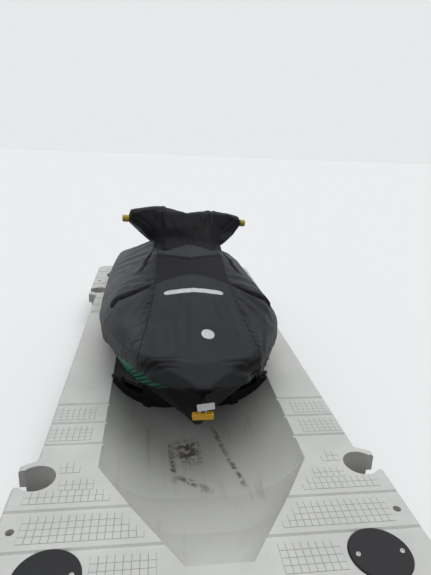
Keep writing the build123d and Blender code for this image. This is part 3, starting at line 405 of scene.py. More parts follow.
# the hem and the gunwale of the cover at each of its stations along x
def stationRows():
    stations = {}
    for x, y, z in bodyPoints:
        stations.setdefault(round(float(x), 3), []).append((abs(y), z))
    rows = []
    for x in sorted(stations):
        group = stations[x]
        hem = min(z for y, z in group)
        above = [(y, z) for y, z in group if z > hem + coverSizes["rollHeight"]]
        if len(group) >= coverSizes["stationPoints"] and above:
            rows.append((x, hem, *max(above)))
    return np.array(rows)


stations = stationRows()
print("cover stations:", len(stations))


# height of the hem, and half width and height of the gunwale, at a place along x
def stationAt(x):
    return [np.interp(x, stations[:, 0], column) for column in stations.T[1:]]


# height of the cover's top at a place, from the nearest places fore and aft where the neck stands
def bodyTop(x, y):
    half, back, front = coverSizes["neckZone"]
    if abs(y) < half and back < x < front:
        rear, fore = (fallOnto(bodyTree, end, y).z for end in (back, front))
        return rear + (fore - rear) * (x - back) / (front - back)
    hit = fallOnto(bodyTree, x, y)
    return hit.z if hit else 0


def seamWidth(x):
    return np.interp(x, *zip(*(seatSeam[:-1] + sideSeam)))


# x of a crease at a distance y from the middle
def creaseX(crease, y):
    share = np.clip(np.abs(y) / crease["reach"], 0, 1.4) ** crease["power"]
    return crease["middle"] + (crease["corner"] - crease["middle"]) * share


# rounds a row of the skirt round the bow: twice the mean of neighbours, less the mean of those means,
# which takes out notches and leaves the row as wide as it was
def roundRing(groups, reach, start):
    points = np.array([np.mean([v.co for v in group], axis=0) for group in groups])
    steps = np.linalg.norm(np.diff(points, axis=0), axis=1)
    along = np.concatenate(([0], np.cumsum(steps)))
    weights = np.exp(-((along[:, None] - along) / reach) ** 2) * (np.gradient(along) + 1e-6)
    weights /= weights.sum(1)[:, None]
    mean = weights @ points
    mean = 2 * mean - weights @ mean
    ahead = np.gradient(mean, along + np.arange(len(along)) * 1e-9, axis=0)
    outward = np.stack((ahead[:, 1], -ahead[:, 0], 0 * along), axis=1)
    outward /= np.maximum(np.linalg.norm(outward, axis=1), 1e-9)[:, None]
    outward *= np.where(outward[:, :1] * (mean[:, :1] - start) + outward[:, 1:2] * mean[:, 1:2] < 0, -1, 1)
    much = ramp(points[:, :1], start, coverSizes["ringRun"])
    points += (mean + outward * coverSizes["ringOut"] - points) * much
    for group, point in zip(groups, points):
        for v in group:
            v.co = Vector(point)


def coverGrid():
    sizes = coverSizes
    steps, across = sizes["skirtRows"], sizes["columns"]
    start = bodyPoints[:, 0].min() + 0.001
    end = bodyPoints[:, 0].max() - 0.001
    sternRows = int((sizes["bowStart"] - start) / sizes["sternSpacing"])
    bowRows = int((end - sizes["bowStart"]) / sizes["bowSpacing"])
    along = np.concatenate((np.linspace(start, sizes["bowStart"], sternRows, endpoint=False),
                            np.linspace(sizes["bowStart"], end, bowRows)))
    last = len(along) - 1
    edge = steps + len(sizes["hemRoll"])
    rows, columns = last + 2 * edge, across + 2 * edge
    bm = bmesh.new()
    bmesh.ops.create_grid(bm, x_segments=rows, y_segments=columns, size=1)

    def topPoint(x, b):
        ridgeY, ridgeZ = stationAt(x)[1:]
        hit = fallOnto(bodyTree, x, b * ridgeY * 0.999)
        if hit is None or hit.z < ridgeZ - 0.02:
            return Vector((x, b * ridgeY, ridgeZ))
        return hit

    def hanging(x, key):
        middle, spread, depth = sizes[key]
        return depth * bell(x - middle, spread)

    def growing(x, key):
        start, run, most = sizes[key]
        return most * ramp(x, start, run)

    def downPoint(top, direction, k):
        # from the gunwale to the hem, then round under it
        if k > steps:
            inwards, up = sizes["hemRoll"][k - steps - 1]
            return downPoint(top, direction, steps) - direction * inwards + Vector((0, 0, up))
        x = top.x
        real = stationAt(x)[0] + 0.002
        hem = real - hanging(x, "hemDrop") + growing(x, "noseLift")
        if top.y > 0:
            hem -= hanging(x, "portDrop")
        flare = growing(x, "hemFlare")
        z = top.z + (hem - top.z) * k / steps
        level = max(z, real)
        hit = bodyTree.ray_cast(top + direction + Vector((0, 0, level - top.z)), -direction, 1.3)[0]
        place = Vector((hit.x, hit.y, z)) if hit else Vector((top.x, top.y, z))
        place += direction * (flare * (k / steps) ** 0.8)
        if flare > 0 and k < steps:
            # stretched straight from the gunwale to the hem
            foot = downPoint(top, direction, steps)
            short = (top + (foot - top) * (k / steps) - place).dot(direction)
            place += direction * max(short, 0)
        return place

    drop = []
    rings = {}
    for v in bm.verts:
        i = round((v.co.x + 1) / 2 * rows) - edge
        j = round((v.co.y + 1) / 2 * columns) - edge
        inI, inJ = min(max(i, 0), last), min(max(j, 0), across)
        beyondI, beyondJ = abs(i - inI), abs(j - inJ)
        top = topPoint(along[inI], -1 + 2 * inJ / across)
        if beyondI and beyondJ:
            drop.append(v)
        elif beyondJ:
            v.co = downPoint(top, Vector((0, 1 if j > 0 else -1, 0)), beyondJ)
            if top.x > sizes["ringFrom"]:
                place = across + last - inI if j > 0 else inI - last
                rings.setdefault(beyondJ, {}).setdefault(place, []).append(v)
        elif beyondI:
            direction = Vector((1 if i > 0 else -1, 0, 0))
            if inJ in (0, across):
                direction = Vector((0, 1 if inJ else -1, 0))
            v.co = downPoint(top, direction, beyondI)
            if i > last:
                rings.setdefault(beyondI, {}).setdefault(inJ, []).append(v)
        else:
            v.co = top
    for k, ring in rings.items():
        ordered = [ring[place] for place in sorted(ring)]
        roundRing(ordered, sizes["ringReach"] * min(k / 4, 1), sizes["ringFrom"])
    bmesh.ops.delete(bm, geom=drop, context="VERTS")
    bmesh.ops.remove_doubles(bm, verts=bm.verts[:], dist=0.0004)
    return bm


# the length of a line from a to b, and the place beside it: along as a share of the length, and to the right
def besideLine(x, y, a, b):
    length = hypot(b[0] - a[0], b[1] - a[1])
    ux, uy = (b[0] - a[0]) / length, (b[1] - a[1]) / length
    return length, ((x - a[0]) * ux + (y - a[1]) * uy) / length, (x - a[0]) * uy - (y - a[1]) * ux


# a ridge with a furrow beside it
def ridgeShape(off, wide, furrow, away):
    return bell(off, wide) - furrow * bell(off - away * wide, wide)


# height of a fold that runs from a to b, highest near a and dying out at b
def foldHeight(x, y, fold):
    ax, ay, bx, by, width, height = fold
    length, share, across = besideLine(x, y, (ax, ay), (bx, by))
    t = np.clip(share, 0, 1)
    past = ramp(np.abs(share - t) * length, 0, 0.02)
    shape = ridgeShape(across + 0.06 * length * np.sin(pi * t), width * (0.6 + 0.9 * t), 0.55, 1.7)
    return height * shape * (np.sin(pi * np.clip(t * 0.86 + 0.1, 0, 1)) ** 0.8) * (1 - past)


# a flap whose rear edge lies over the front panel: a step along the line, larger towards its outer end
def flapStep(x, y, flap):
    t, across = besideLine(x, y, flap["inner"], flap["outer"])[1:]
    d = -across
    grow = np.clip(t * 1.6, 0, 1) * ramp(t, 1.04, -0.05)
    behind = flap["lift"] * np.exp(-np.clip(d, 0, 1) / flap["fade"])
    ahead = -flap["sink"] * np.exp(np.clip(d, -1, 0) / (flap["fade"] / 2))
    mouth = flap["mouth"] * (0.45 + 0.75 * np.sin(pi * np.clip(t, 0, 1)))
    # painted shade in the mouth under the flap, where little light gets in
    gap = bell(d + mouth * 0.7, mouth) * np.clip(grow * 2.5, 0, 1)
    step = ahead + (behind - ahead) * ramp(d, -0.003, 0.006)
    return (step - 0.010 * gap) * grow, np.clip(gap * 1.6, 0, 1)


def wrinkleNoise(points, waves):
    return sum(much * np.array([noise.noise(Vector(p) * scale + Vector((seed, 0, 0))) for p in points])
               for much, scale, seed in waves)


def weltHeight(line, welts):
    return sum(much * bell(line - off, wide) for off, wide, much in welts)


def coverRelief(points):
    x, y, z = points.T
    side = np.abs(y)
    hem, ridge, ridgeZ = stationAt(x)
    ruffle = coverRuffle
    rng = random.Random(7)
    height = wrinkleNoise(points, ruffle["waves"])
    # painted shade in the flaps' mouths and in the furrows beside the folds
    gapShade = np.zeros(len(x))

    def addFold(own, fold, kind):
        # little light gets into the furrow beside a fold
        more, dark = ruffle[kind]
        shape = own * foldHeight(x, side, fold)
        height[:] += more * shape
        gapShade[:] += np.clip(-dark * shape / fold[5], 0, 1)

    for sign, ownFolds in ((-1, starboardFolds), (1, portFolds)):
        own = np.where(sign * y > 0.004, 1.0, 0.0)
        for fold in ownFolds:
            addFold(own, fold, "ownFolds")
        for fold in sideFolds:
            moved = [value + rng.uniform(-ruffle["moved"], ruffle["moved"]) for value in fold[:4]]
            size = (fold[4] * rng.uniform(0.75, 1.1), fold[5] * rng.uniform(0.8, 1.65))
            addFold(own, (*moved, *size), "sideFolds")
        for flap in (slitFlap, neckSlit):
            step, gap = flapStep(x, side, flap)
            height += own * step
            gapShade += own * gap
        # short puckers across the side seam
        position, end = ruffle["puckered"]
        while position < end:
            middle = float(seamWidth(position))
            reach = rng.uniform(0.03, 0.085)
            lean = rng.uniform(-0.03, 0.05)
            size = (0.006, rng.uniform(0.0016, 0.0040))
            addFold(own, (position, middle - 0.02, position + lean, middle + reach, *size), "puckers")
            position += rng.uniform(0.022, 0.05)
    # gathers above the hem
    many, wander, few = ruffle["gatherRates"]
    gather = np.sin(x * many + 3.0 * np.sin(x * wander) + np.sign(y) * 1.3) * np.sin(x * few + np.sign(y))
    low = np.clip((ridgeZ - z) / np.maximum(ridgeZ - hem, 0.01), 0, 1)
    height += ruffle["gathers"] * gather * low * np.maximum(ramp(x, *ruffle["gathersTo"]),
                                                            ruffle["gathersLeast"])
    # the middle panel: faint lengthwise folds, and the hollow between its seams
    middle = np.clip(1 - side / np.maximum(seamWidth(x), 0.01), 0, 1)
    front = ramp(x, *ruffle["wavesFrom"]) * ramp(x, *ruffle["wavesTo"])
    across, along = ruffle["panelRates"]
    waves = np.sin(side * across + 2.0 * np.sin(x * along)) * np.clip(middle * 3, 0, 1)
    height += front * ruffle["panelWaves"] * waves
    panel = ramp(x, *ruffle["foldsFrom"]) * ramp(x, *ruffle["foldsTo"])
    for place, wide, deep, lean in panelFolds:
        height += deep * panel * ridgeShape(y - place - lean * (x - 0.5), wide, 0.6, 1.8)
    # welts along the ledge's lip, the arc seam, the bow seam and the side seams
    onTop = ramp(z, ridgeZ, 0.01)
    for crease in (ledgeEdge, arcSeam, bowSeam):
        within = ramp(side, crease["reach"] + crease["past"], -0.02)
        height += within * onTop * weltHeight(x - creaseX(crease, y), crease["welts"])
    seam = side - seamWidth(x)
    height += ramp(x, *ruffle["seamTo"]) * onTop * weltHeight(seam, seamWelts)
    # the rise behind the ledge, and the dip ahead of the bow seam
    rise = ramp(x, ledgeRise["from"], -ledgeRise["run"]) * np.clip(1 - (side / ledgeRise["reach"]) ** 2, 0, 1)
    height += onTop * ledgeRise["height"] * rise * (x > ledgeRise["back"])
    arc, bow = x - creaseX(arcSeam, y), x - creaseX(bowSeam, y)
    dip = ramp(bow, 0, 0.07) * ramp(z, ridgeZ - 0.006, 0.022)
    height -= ruffle["noseDip"] * eased(dip) * ramp(side, bowSeam["reach"] + 0.03, -0.05)
    # the trim holds the cloth flat
    strip = bell(x - trimSizes["middle"] - trimSizes["bend"] * y * y, trimSizes["flatStrip"])
    strip *= ramp(side, trimSizes["half"] + trimSizes["flatEnds"], -trimSizes["flatEnds"])
    disc = bell(np.hypot(x - trimSizes["disc"][0], y - trimSizes["disc"][1]), trimSizes["flatDisc"])
    height *= 1 - ruffle["heldFlat"] * np.maximum(strip, disc)
    return height, {
        "sideLine": np.where(x < 0.955, seam, lineFar),
        "arcLine": np.where(side < arcSeam["reach"] + 0.004, arc, lineFar),
        "gunwaleLine": np.where(x > 0.95, lineFar, np.where(z < ridgeZ - 0.001, ridgeZ - z, side - ridge)),
        "gapAndCreaseShade": np.clip(gapShade, 0, 1),
        "clothTone": coverTone(x, y),
    }


# paler with painted light on the ledge, which faces the sky, and on the starboard side, and with weathering on the
# flanks behind the slits, more so to starboard; darker with painted shade between the ledge and the arc seam,
# where the sheet is steep, and on the nose
def coverTone(x, y):
    tones = coverTones
    side, starboard = np.abs(y), y < 0
    edge, arc = creaseX(ledgeEdge, y), creaseX(arcSeam, y)
    soft = tones["edges"]
    # painted light on the ledge
    ledge = ramp(x, edge, -soft["ledge"]) * ramp(side, *tones["ledgeSide"]) * (x > ledgeRise["back"])
    # paler flanks with weathering, and painted light over the starboard side
    flank = ramp(x, *tones["flankTo"]) * ramp(side, *tones["flankSide"])
    flank *= np.where(starboard, tones["starboard"], tones["port"])
    flank = np.maximum(flank, tones["starboardLeast"] * starboard * ramp(side, *tones["leastSide"]))
    # painted shade on the steep part and on the nose
    steep = ramp(x, edge, soft["steep"]) * ramp(x, arc, -soft["steep"]) * ramp(side, *tones["steepSide"])
    nose = ramp(x, creaseX(bowSeam, y), soft["nose"])
    pale = np.clip(tones["ledge"] * ledge + flank * (1 - nose), 0, 1)
    return pale - tones["steep"] * steep - tones["nose"] * nose


def writeLines(mesh, lines):
    for name, values in lines.items():
        attribute = mesh.attributes.new(name, "FLOAT", "POINT")
        attribute.data.foreach_set("value", values.astype(np.float32))


def raiseRelief(mesh, height):
    normals = np.empty(len(mesh.vertices) * 3, np.float32)
    mesh.vertices.foreach_get("normal", normals)
    mesh.vertices.foreach_set("co", (meshCo(mesh) + normals.reshape(-1, 3) * height[:, None]).ravel())
    mesh.update()


# the hood's own frame: forward, port and up along the steering column
steering = {
    "restTurn": radians(7),  # the handlebar stands turned a little to port
    "hoodGap": 0.007,
    "twistFrom": -0.02,
    "twistTo": 0.06,
}
hoodSizes = {
    "columns": 64,  # across, from grip to grip
    "around": 72,
    "sections": 60,  # of the solid that are measured, from the middle to the ear
    "levels": (-0.002, 0.25, 0.002),  # from, to and step of the heights they are measured at
    "middle": -0.02,  # of the neck, ahead of the column
    "neckTop": 0.035,
    "neckFoot": -0.19,
    "neckLevels": 14,
    "footShare": 0.847,  # half width of the neck at its foot's depth, against its top
    "footDepth": 0.15,
    "topShare": 0.97,  # width of the neck where it stands inside the hood
    "cuff": ((0.003, 0.5), (0.007, 0.85), (0.012, 1.0)),  # beyond the ear, share towards the grip
    "cuffRadius": 0.0270,
    "shortened": 0.010,  # the ears end this much short of the solid's
    # change of its top edge and of its lower edge, from starboard to port
    "topChange": ((-0.43, 0.022), (-0.32, 0.012), (-0.22, 0.0), (-0.14, -0.012), (0.0, -0.012),
                  (0.08, -0.016), (0.16, -0.026), (0.26, -0.016), (0.34, -0.003), (0.43, 0.003)),
    "lowChange": ((-0.42, 0.0), (-0.34, -0.015), (-0.27, -0.026), (-0.22, -0.020), (0.0, 0.0),
                  (0.22, -0.042), (0.27, -0.048), (0.34, -0.032), (0.42, 0.0)),
    "frontPasses": 50,  # of smoothing over its front
    "frontHalf": (0.235, 0.06),  # half width at the first pass, and how much narrower by the last
    "frontLevels": (-0.14, 0.175),
    # its front in the middle: up, ahead
    "frontFall": ((-0.16, 0.300), (-0.11, 0.232), (-0.06, 0.176), (-0.02, 0.150), (0.06, 0.118),
                  (0.13, 0.084), (0.185, 0.052)),
    "gripEnd": (-0.045, 0.138),
    "voxel": 0.0062,
    "softening": 6,
    "sunk": 0.018,  # of the foot under the cover
}
steerJoint = next(j for j in frame["joints"] if j["name"] == "steer")
steerPoint = Vector(steerJoint["pos_m"])
steerUp = Vector(steerJoint["axis"]).normalized()
steerPort = Vector((0, 1, 0))
steerAhead = steerPort.cross(steerUp).normalized()


# turned puts the handlebar straight, as the hood's own frame has it
def toSteering(points, turned=True):
    rel = points - np.array(steerPoint)
    ahead, port, up = (rel @ np.array(axis) for axis in (steerAhead, steerPort, steerUp))
    turn, gap = (steering["restTurn"], steering["hoodGap"]) if turned else (0, 0)
    c, s = cos(turn), sin(turn)
    return np.stack((ahead * c + port * s, port * c - ahead * s, up - gap), axis=1)


# from the hood's frame to the object's, twisting from the neck up to the turned handlebar
def fromSteering(points):
    ahead, port, up = points.T
    t = ramp(up, steering["twistFrom"], steering["twistTo"] - steering["twistFrom"])
    c, s = np.cos(steering["restTurn"] * eased(t)), np.sin(steering["restTurn"] * eased(t))
    moved = np.stack((ahead * c - port * s, ahead * s + port * c, up + steering["hoodGap"] * t), axis=1)
    return np.array(steerPoint) + moved @ np.array((steerAhead, steerPort, steerUp))


hoodMesh = nodes["cover_hood"].data
hoodPoints = toSteering(meshCo(hoodMesh))
hoodTree = treeOf(hoodMesh, hoodPoints)


# sections of the hood across: distance to port, lowest, highest, rearmost and foremost
def hoodRows():
    end = float(np.abs(hoodPoints[:, 1]).max()) - 0.0015
    table = []
    for y in np.linspace(0, end, hoodSizes["sections"]):
        found = []
        for level in np.arange(*hoodSizes["levels"]):
            fore = hoodTree.ray_cast(Vector((0.6, y, level)), Vector((-1, 0, 0)), 1.2)[0]
            rear = hoodTree.ray_cast(Vector((-0.6, y, level)), Vector((1, 0, 0)), 1.2)[0]
            if fore and rear:
                found.append((level, rear.x, fore.x))
        levels, rears, fores = zip(*found)
        table.append((y, min(levels), max(levels), min(rears), max(fores)))
    return np.array(table)


hoodTable = hoodRows()


# lowest, highest, rearmost and foremost of the hood at a distance y to port
def hoodAt(y):
    return [float(np.interp(abs(y), hoodTable[:, 0], column)) for column in hoodTable.T[1:]]


# points round the hood at a distance y to port, as (ahead, up)
def hoodRing(y):
    low, high, back, front = hoodAt(y)
    middle = Vector(((back + front) / 2, y, low + 0.45 * (high - low)))
    points = []
    for k in range(hoodSizes["around"]):
        angle = 2 * pi * k / hoodSizes["around"]
        direction = Vector((cos(angle), 0, sin(angle)))
        hit = hoodTree.ray_cast(middle + direction * 0.8, -direction, 0.9)[0]
        if hit is None or hit.z < low + 0.002 or (hit - middle).dot(direction) < 0.02:
            # open below: straight across at the lowest level
            reach = min((middle.z - low) / max(-sin(angle), 0.05), 0.5)
            hit = Vector((min(max(middle.x + reach * cos(angle), back), front), y, low))
        points.append((hit.x, hit.z))
    return points


# the outline of the neck where the hood begins, as radius by angle
def neckRadius():
    points = toSteering(bodyPoints, turned=False)
    ahead, port = points[:, 0] - hoodSizes["middle"], points[:, 1]
    ring = (np.abs(points[:, 2]) < 0.002) & (np.abs(ahead) < 0.2) & (np.abs(port) < 0.26)
    ahead, port = ahead[ring], port[ring]
    radius, angle = np.hypot(ahead, port), np.arctan2(port, ahead)
    outer = {}
    for r, a in zip(radius, angle):
        key = round(float(a), 2)
        outer[key] = max(outer.get(key, 0), float(r))
    angles = np.array(sorted(outer))
    return angles, np.array([outer[a] for a in angles])


def joinRings(bm, rings):
    # faces between neighbouring rings of vertices, and a fan over both ends
    count = len(rings[0])
    for first, second in zip(rings, rings[1:]):
        for k in range(count):
            bm.faces.new((first[k], first[(k + 1) % count], second[(k + 1) % count], second[k]))
    for ring in (rings[0], rings[-1]):
        middle = bm.verts.new(sum((v.co for v in ring), Vector()) / count)
        for k in range(count):
            bm.faces.new((ring[k], ring[(k + 1) % count], middle))


def hoodForm():
    sizes = hoodSizes
    half = float(hoodTable[-1, 0]) - sizes["shortened"]
    bm = bmesh.new()
    rings = []
    gripAhead, gripUp = sizes["gripEnd"]
    columns = [(half * (-1 + 2 * k / sizes["columns"]), 0.0) for k in range(sizes["columns"] + 1)]
    cuffs = [(half + out, share) for out, share in sizes["cuff"]]
    for y, share in [(-y, share) for y, share in reversed(cuffs)] + columns + cuffs:
        inner = max(-half, min(half, y))
        rise, sag = (float(np.interp(y, *zip(*sizes[key]))) for key in ("topChange", "lowChange"))
        low, high = hoodAt(inner)[:2]
        ring = []
        for ahead, up in hoodRing(inner):
            level = (up - low) / (high - low)
            up += rise * level + sag * (1 - level)
            angle = atan2(up - gripUp, ahead - gripAhead)
            ahead += (gripAhead + sizes["cuffRadius"] * cos(angle) - ahead) * share
            up += (gripUp + sizes["cuffRadius"] * sin(angle) - up) * share
            ring.append(bm.verts.new((ahead, y, up)))
        rings.append(ring)
    joinRings(bm, rings)
    angles, radii = neckRadius()
    rings = []
    for level in np.linspace(sizes["neckTop"], sizes["neckFoot"], sizes["neckLevels"]):
        narrow = 1 - (1 - sizes["footShare"]) * np.clip(-level / sizes["footDepth"], 0, 1.2)
        shrink = sizes["topShare"] if level > 0 else 1
        ring = []
        for angle in np.linspace(-pi, pi, sizes["around"], endpoint=False):
            radius = shrink * float(np.interp(angle, angles, radii, period=2 * pi))
            ahead, port = sizes["middle"] + radius * cos(angle), radius * sin(angle) * narrow
            ring.append(bm.verts.new((ahead, port, level)))
        rings.append(ring)
    joinRings(bm, rings)
    bmesh.ops.recalc_face_normals(bm, faces=bm.faces[:])
    return bm


# a new mesh of even quads over a closed form, made by a voxel remesh
def remeshed(bm, name, voxel):
    mesh = bpy.data.meshes.new(name)
    bm.to_mesh(mesh)
    bm.free()
    holder = intoScene(name, mesh)
    change = holder.modifiers.new("even", "REMESH")
    change.mode = "VOXEL"
    change.voxel_size = voxel
    graph = bpy.context.evaluated_depsgraph_get()
    result = bpy.data.meshes.new_from_object(holder.evaluated_get(graph))
    bpy.data.objects.remove(holder)
    bpy.data.meshes.remove(mesh)
    fresh = bmesh.new()
    fresh.from_mesh(result)
    bpy.data.meshes.remove(result)
    return fresh


# folds on the hood, one side: port, up to port, up, width, height, with those on its front first
frontFolds = (
    (0.165, 0.225, 0.150, 0.03, 0.016, 0.010), (0.205, 0.215, 0.225, 0.02, 0.015, 0.007),
    (0.105, 0.190, 0.085, 0.01, 0.018, 0.005), (0.040, 0.185, 0.030, 0.02, 0.022, 0.004),
    (0.240, 0.020, 0.400, 0.150, 0.013, 0.008), (0.235, 0.045, 0.360, 0.165, 0.012, 0.006),
    (0.215, 0.015, 0.290, 0.150, 0.014, 0.007), (0.400, 0.150, 0.300, 0.185, 0.012, 0.004),
)
backFolds = (
    (0.150, 0.220, 0.120, 0.02, 0.018, 0.009), (0.215, 0.200, 0.230, 0.03, 0.016, 0.008),
    (0.060, 0.190, 0.045, 0.01, 0.022, 0.006), (0.245, 0.030, 0.390, 0.150, 0.013, 0.008),
)
hoodRuffle = {
    "waves": ((0.0028, 6.0, 21), (0.0010, 17.0, 5)),
    "moved": 0.008,
    "gathers": 0.0022,
    "gatherRates": (22, 5),
    "gatherAt": (-0.01, 0.07),  # height of their middle, and how far they reach from it
    "cuffRibs": (0.0016, 9),  # height, and how many
    "cuffFrom": (0.385, 0.03),
    # painted shade on the hood: palest here, darkest a run below or ahead of it, and the least share of the dark
    "topTone": (0.205, 0.05, 0.35),
    "backTone": (-0.05, 0.05, 0.5),
}


def hoodRelief(points):
    ahead, port, up = points.T
    rng = random.Random(11)
    side = np.abs(port)
    ruffle = hoodRuffle
    height = wrinkleNoise(points, ruffle["waves"])
    for folds, face in ((frontFolds, 1), (backFolds, -1)):
        for sign in (-1, 1):
            own = np.where((sign * port > 0.003) & (face * (ahead + 0.02) > 0), 1.0, 0.0)
            for fold in folds:
                moved = [value + rng.uniform(-ruffle["moved"], ruffle["moved"]) for value in fold[:4]]
                height += own * foldHeight(side, up, (*moved, fold[4], fold[5] * rng.uniform(0.7, 1.2)))
    # gathers round the neck, and ribs where the cuffs are drawn in
    around = np.arctan2(port, ahead + 0.02)
    (many, wander), (level, reach) = ruffle["gatherRates"], ruffle["gatherAt"]
    gather = np.sin(around * many + 2 * np.sin(around * wander))
    gather *= np.clip(1 - np.abs(up - level) / reach, 0, 1)
    height += ruffle["gathers"] * gather
    gripAhead, gripUp = hoodSizes["gripEnd"]
    ribHeight, ribCount = ruffle["cuffRibs"]
    ribs = np.sin(np.arctan2(up - gripUp, ahead - gripAhead) * ribCount)
    height += ribHeight * ramp(side, *ruffle["cuffFrom"]) * ribs
    # painted shade: darker lower down the hood, and more on its front than on its back
    top, topRun, topLeast = ruffle["topTone"]
    back, backRun, backLeast = ruffle["backTone"]
    tone = np.clip((top - up) / topRun, topLeast, 1)
    tone *= -np.clip((ahead - back) / backRun, backLeast, 1)
    return height, {
        **dict.fromkeys(seamLines, np.full(len(up), lineFar)),
        "gapAndCreaseShade": np.zeros(len(up)),
        "clothTone": tone,
    }


coverShade = {
    "cloth": (0.0250, 0.0258, 0.0300),
    "faded": (0.0350, 0.0360, 0.0405),
    "seam": (0.004, 0.004, 0.0045),
    # painted shade in the flaps' mouths and in the furrows beside folds
    "gap": (0.0012, 0.0012, 0.0014),
    # paler: painted light and weathering
    "weathered": (0.068, 0.070, 0.078),
    # darker: painted shade
    "clean": (0.0040, 0.0043, 0.0056),
    "dust": (0.085, 0.088, 0.092),
    "patches": (0.38, 0.72),
    "smudges": (0.58, 0.80),
    "roughness": 0.50,
    "spread": 0.14,
    "specular": 0.11,
    "sheen": 0.01,
    "threads": 2600.0,
    "lineHalf": 0.0024,
    "stitchAway": 0.0065,
    "stitchHalf": (0.0004, 0.0011),
    "stitchesEach": 900.0,
    "stitchGap": -0.2,  # below it the sine of the run along a seam leaves a gap
    "smudging": (0.5, 0.22),  # with the tone, and where the tone is nought
    "seamMuch": 0.85,
    "stitchMuch": 0.5,
    "bump": 0.0006,
    "bumps": {"weave": 0.6, "stitch": 1.5, "seam": -2.2},
}


def makeClothMaterial(name):
    shade = coverShade
    material, tree, shader, _, patches = grainedMaterial(name, 260.0, 2.3, shade["roughness"],
                                                         shade["spread"])
    weave = addNode(tree, "Group", {"Threads": shade["threads"]}, node_tree=wovenThreads).outputs[0]
    place, x, y, _ = placeOf(tree)
    # clothTone: above nought paler, with painted light and weathering (worn); below nought darker, with painted
    # shade on the sheet's steep part, its nose and the hood
    tone = attributeOf(tree, "clothTone")
    worn = mathNode(tree, "MAXIMUM", tone, 0.0)
    clean = mathNode(tree, "MAXIMUM", times(tree, tone, -1.0), 0.0)
    smear = noiseAt(tree, place, 9.0, 6.0, 0.7, 0.6)
    smudges = times(tree, rising(tree, smear, *shade["smudges"]),
                    mathNode(tree, "MULTIPLY_ADD", tone, *shade["smudging"], clamp=True))
    lines = []
    stitches = []
    for label in seamLines:
        away = mathNode(tree, "ABSOLUTE", attributeOf(tree, label))
        lines.append(falling(tree, away, shade["lineHalf"] * 0.5, shade["lineHalf"] * 1.5))
        off = mathNode(tree, "ABSOLUTE", mathNode(tree, "SUBTRACT", away, shade["stitchAway"]))
        stitches.append(falling(tree, off, *shade["stitchHalf"]))
    line = combine(tree, "MAXIMUM", *lines)
    run = times(tree, mathNode(tree, "ADD", x, y), shade["stitchesEach"])
    dash = mathNode(tree, "GREATER_THAN", mathNode(tree, "SINE", run), shade["stitchGap"])
    stitch = times(tree, combine(tree, "MAXIMUM", *stitches), dash)
    colour = mixColours(tree, rising(tree, patches, *shade["patches"]), shade["cloth"], shade["faded"])
    # paler with painted light and weathering, darker with painted shade, then dust, dark seams, painted shade in
    # gaps and creases, and pale stitches
    for mask, label in ((worn, "weathered"), (clean, "clean"), (smudges, "dust"),
                        (times(tree, line, shade["seamMuch"]), "seam"), (attributeOf(tree, "gapAndCreaseShade"), "gap"),
                        (times(tree, stitch, shade["stitchMuch"]), "dust")):
        colour = mixColours(tree, mask, colour, shade[label])
    feed(tree, shader, {"Base Color": colour, "Sheen Weight": shade["sheen"], "Sheen Roughness": 0.45,
                        "Specular IOR Level": shade["specular"]})
    bumps = shade["bumps"]
    fine = mathNode(tree, "MULTIPLY_ADD", stitch, bumps["stitch"], times(tree, weave, bumps["weave"]))
    bumpInto(tree, shader, mathNode(tree, "MULTIPLY_ADD", line, bumps["seam"], fine), shade["bump"])
    return material


coverCloth = makeClothMaterial("coverCloth")


# moves what the relief has pushed into the rub rail back outside it
def clearRail(mesh):
    railMesh = nodes["rub_rail"].data
    rail = treeOf(railMesh, meshCo(railMesh))
    start, clear = coverSizes["railFrom"], coverSizes["railClear"]
    for v in mesh.vertices:
        if v.co.x < start:
            continue
        outward = Vector((v.co.x - start, v.co.y, 0)).normalized()
        hit = rail.ray_cast(v.co + outward * 0.15, -outward, 0.15 + clear)[0]
        if hit:
            v.co = hit + outward * clear
    mesh.update()


def makeCoverSheet():
    sizes = coverSizes
    bm = coverGrid()
    # the sheet stops a little way in under the hood
    half, wide = (size - sizes["neckInside"] for size in sizes["neckHalf"])
    inside = []
    for f in bm.faces:
        middle = f.calc_center_median()
        ahead, port = toSteering(np.array([middle]))[0][:2]
        if abs(ahead - hoodSizes["middle"]) < half and abs(port) < wide and middle.z > 1.0:
            inside.append(f)
    bmesh.ops.delete(bm, geom=inside, context="FACES")
    stretch = [v for v in bm.verts if not v.is_boundary and v.co.z > stationAt(v.co.x)[0] + 0.012]
    soften(bm, stretch, sizes["softening"])
    passes, start, end = sizes["bowSoftening"], sizes["bowFrom"], sizes["bowTo"]
    for k in range(passes):
        soften(bm, [v for v in stretch if v.co.x > start + (end - start) * k / passes])
    bmesh.ops.recalc_face_normals(bm, faces=bm.faces[:])
    sheet = finishMesh(bm, "coverSheet", None, coverCloth)
    top = max(sheet.data.polygons, key=lambda p: p.center.z)
    if top.normal.z < 0:
        sheet.data.flip_normals()
    height, lines = coverRelief(meshCo(sheet.data))
    raiseRelief(sheet.data, height)
    clearRail(sheet.data)
    writeLines(sheet.data, lines)
    return sheet


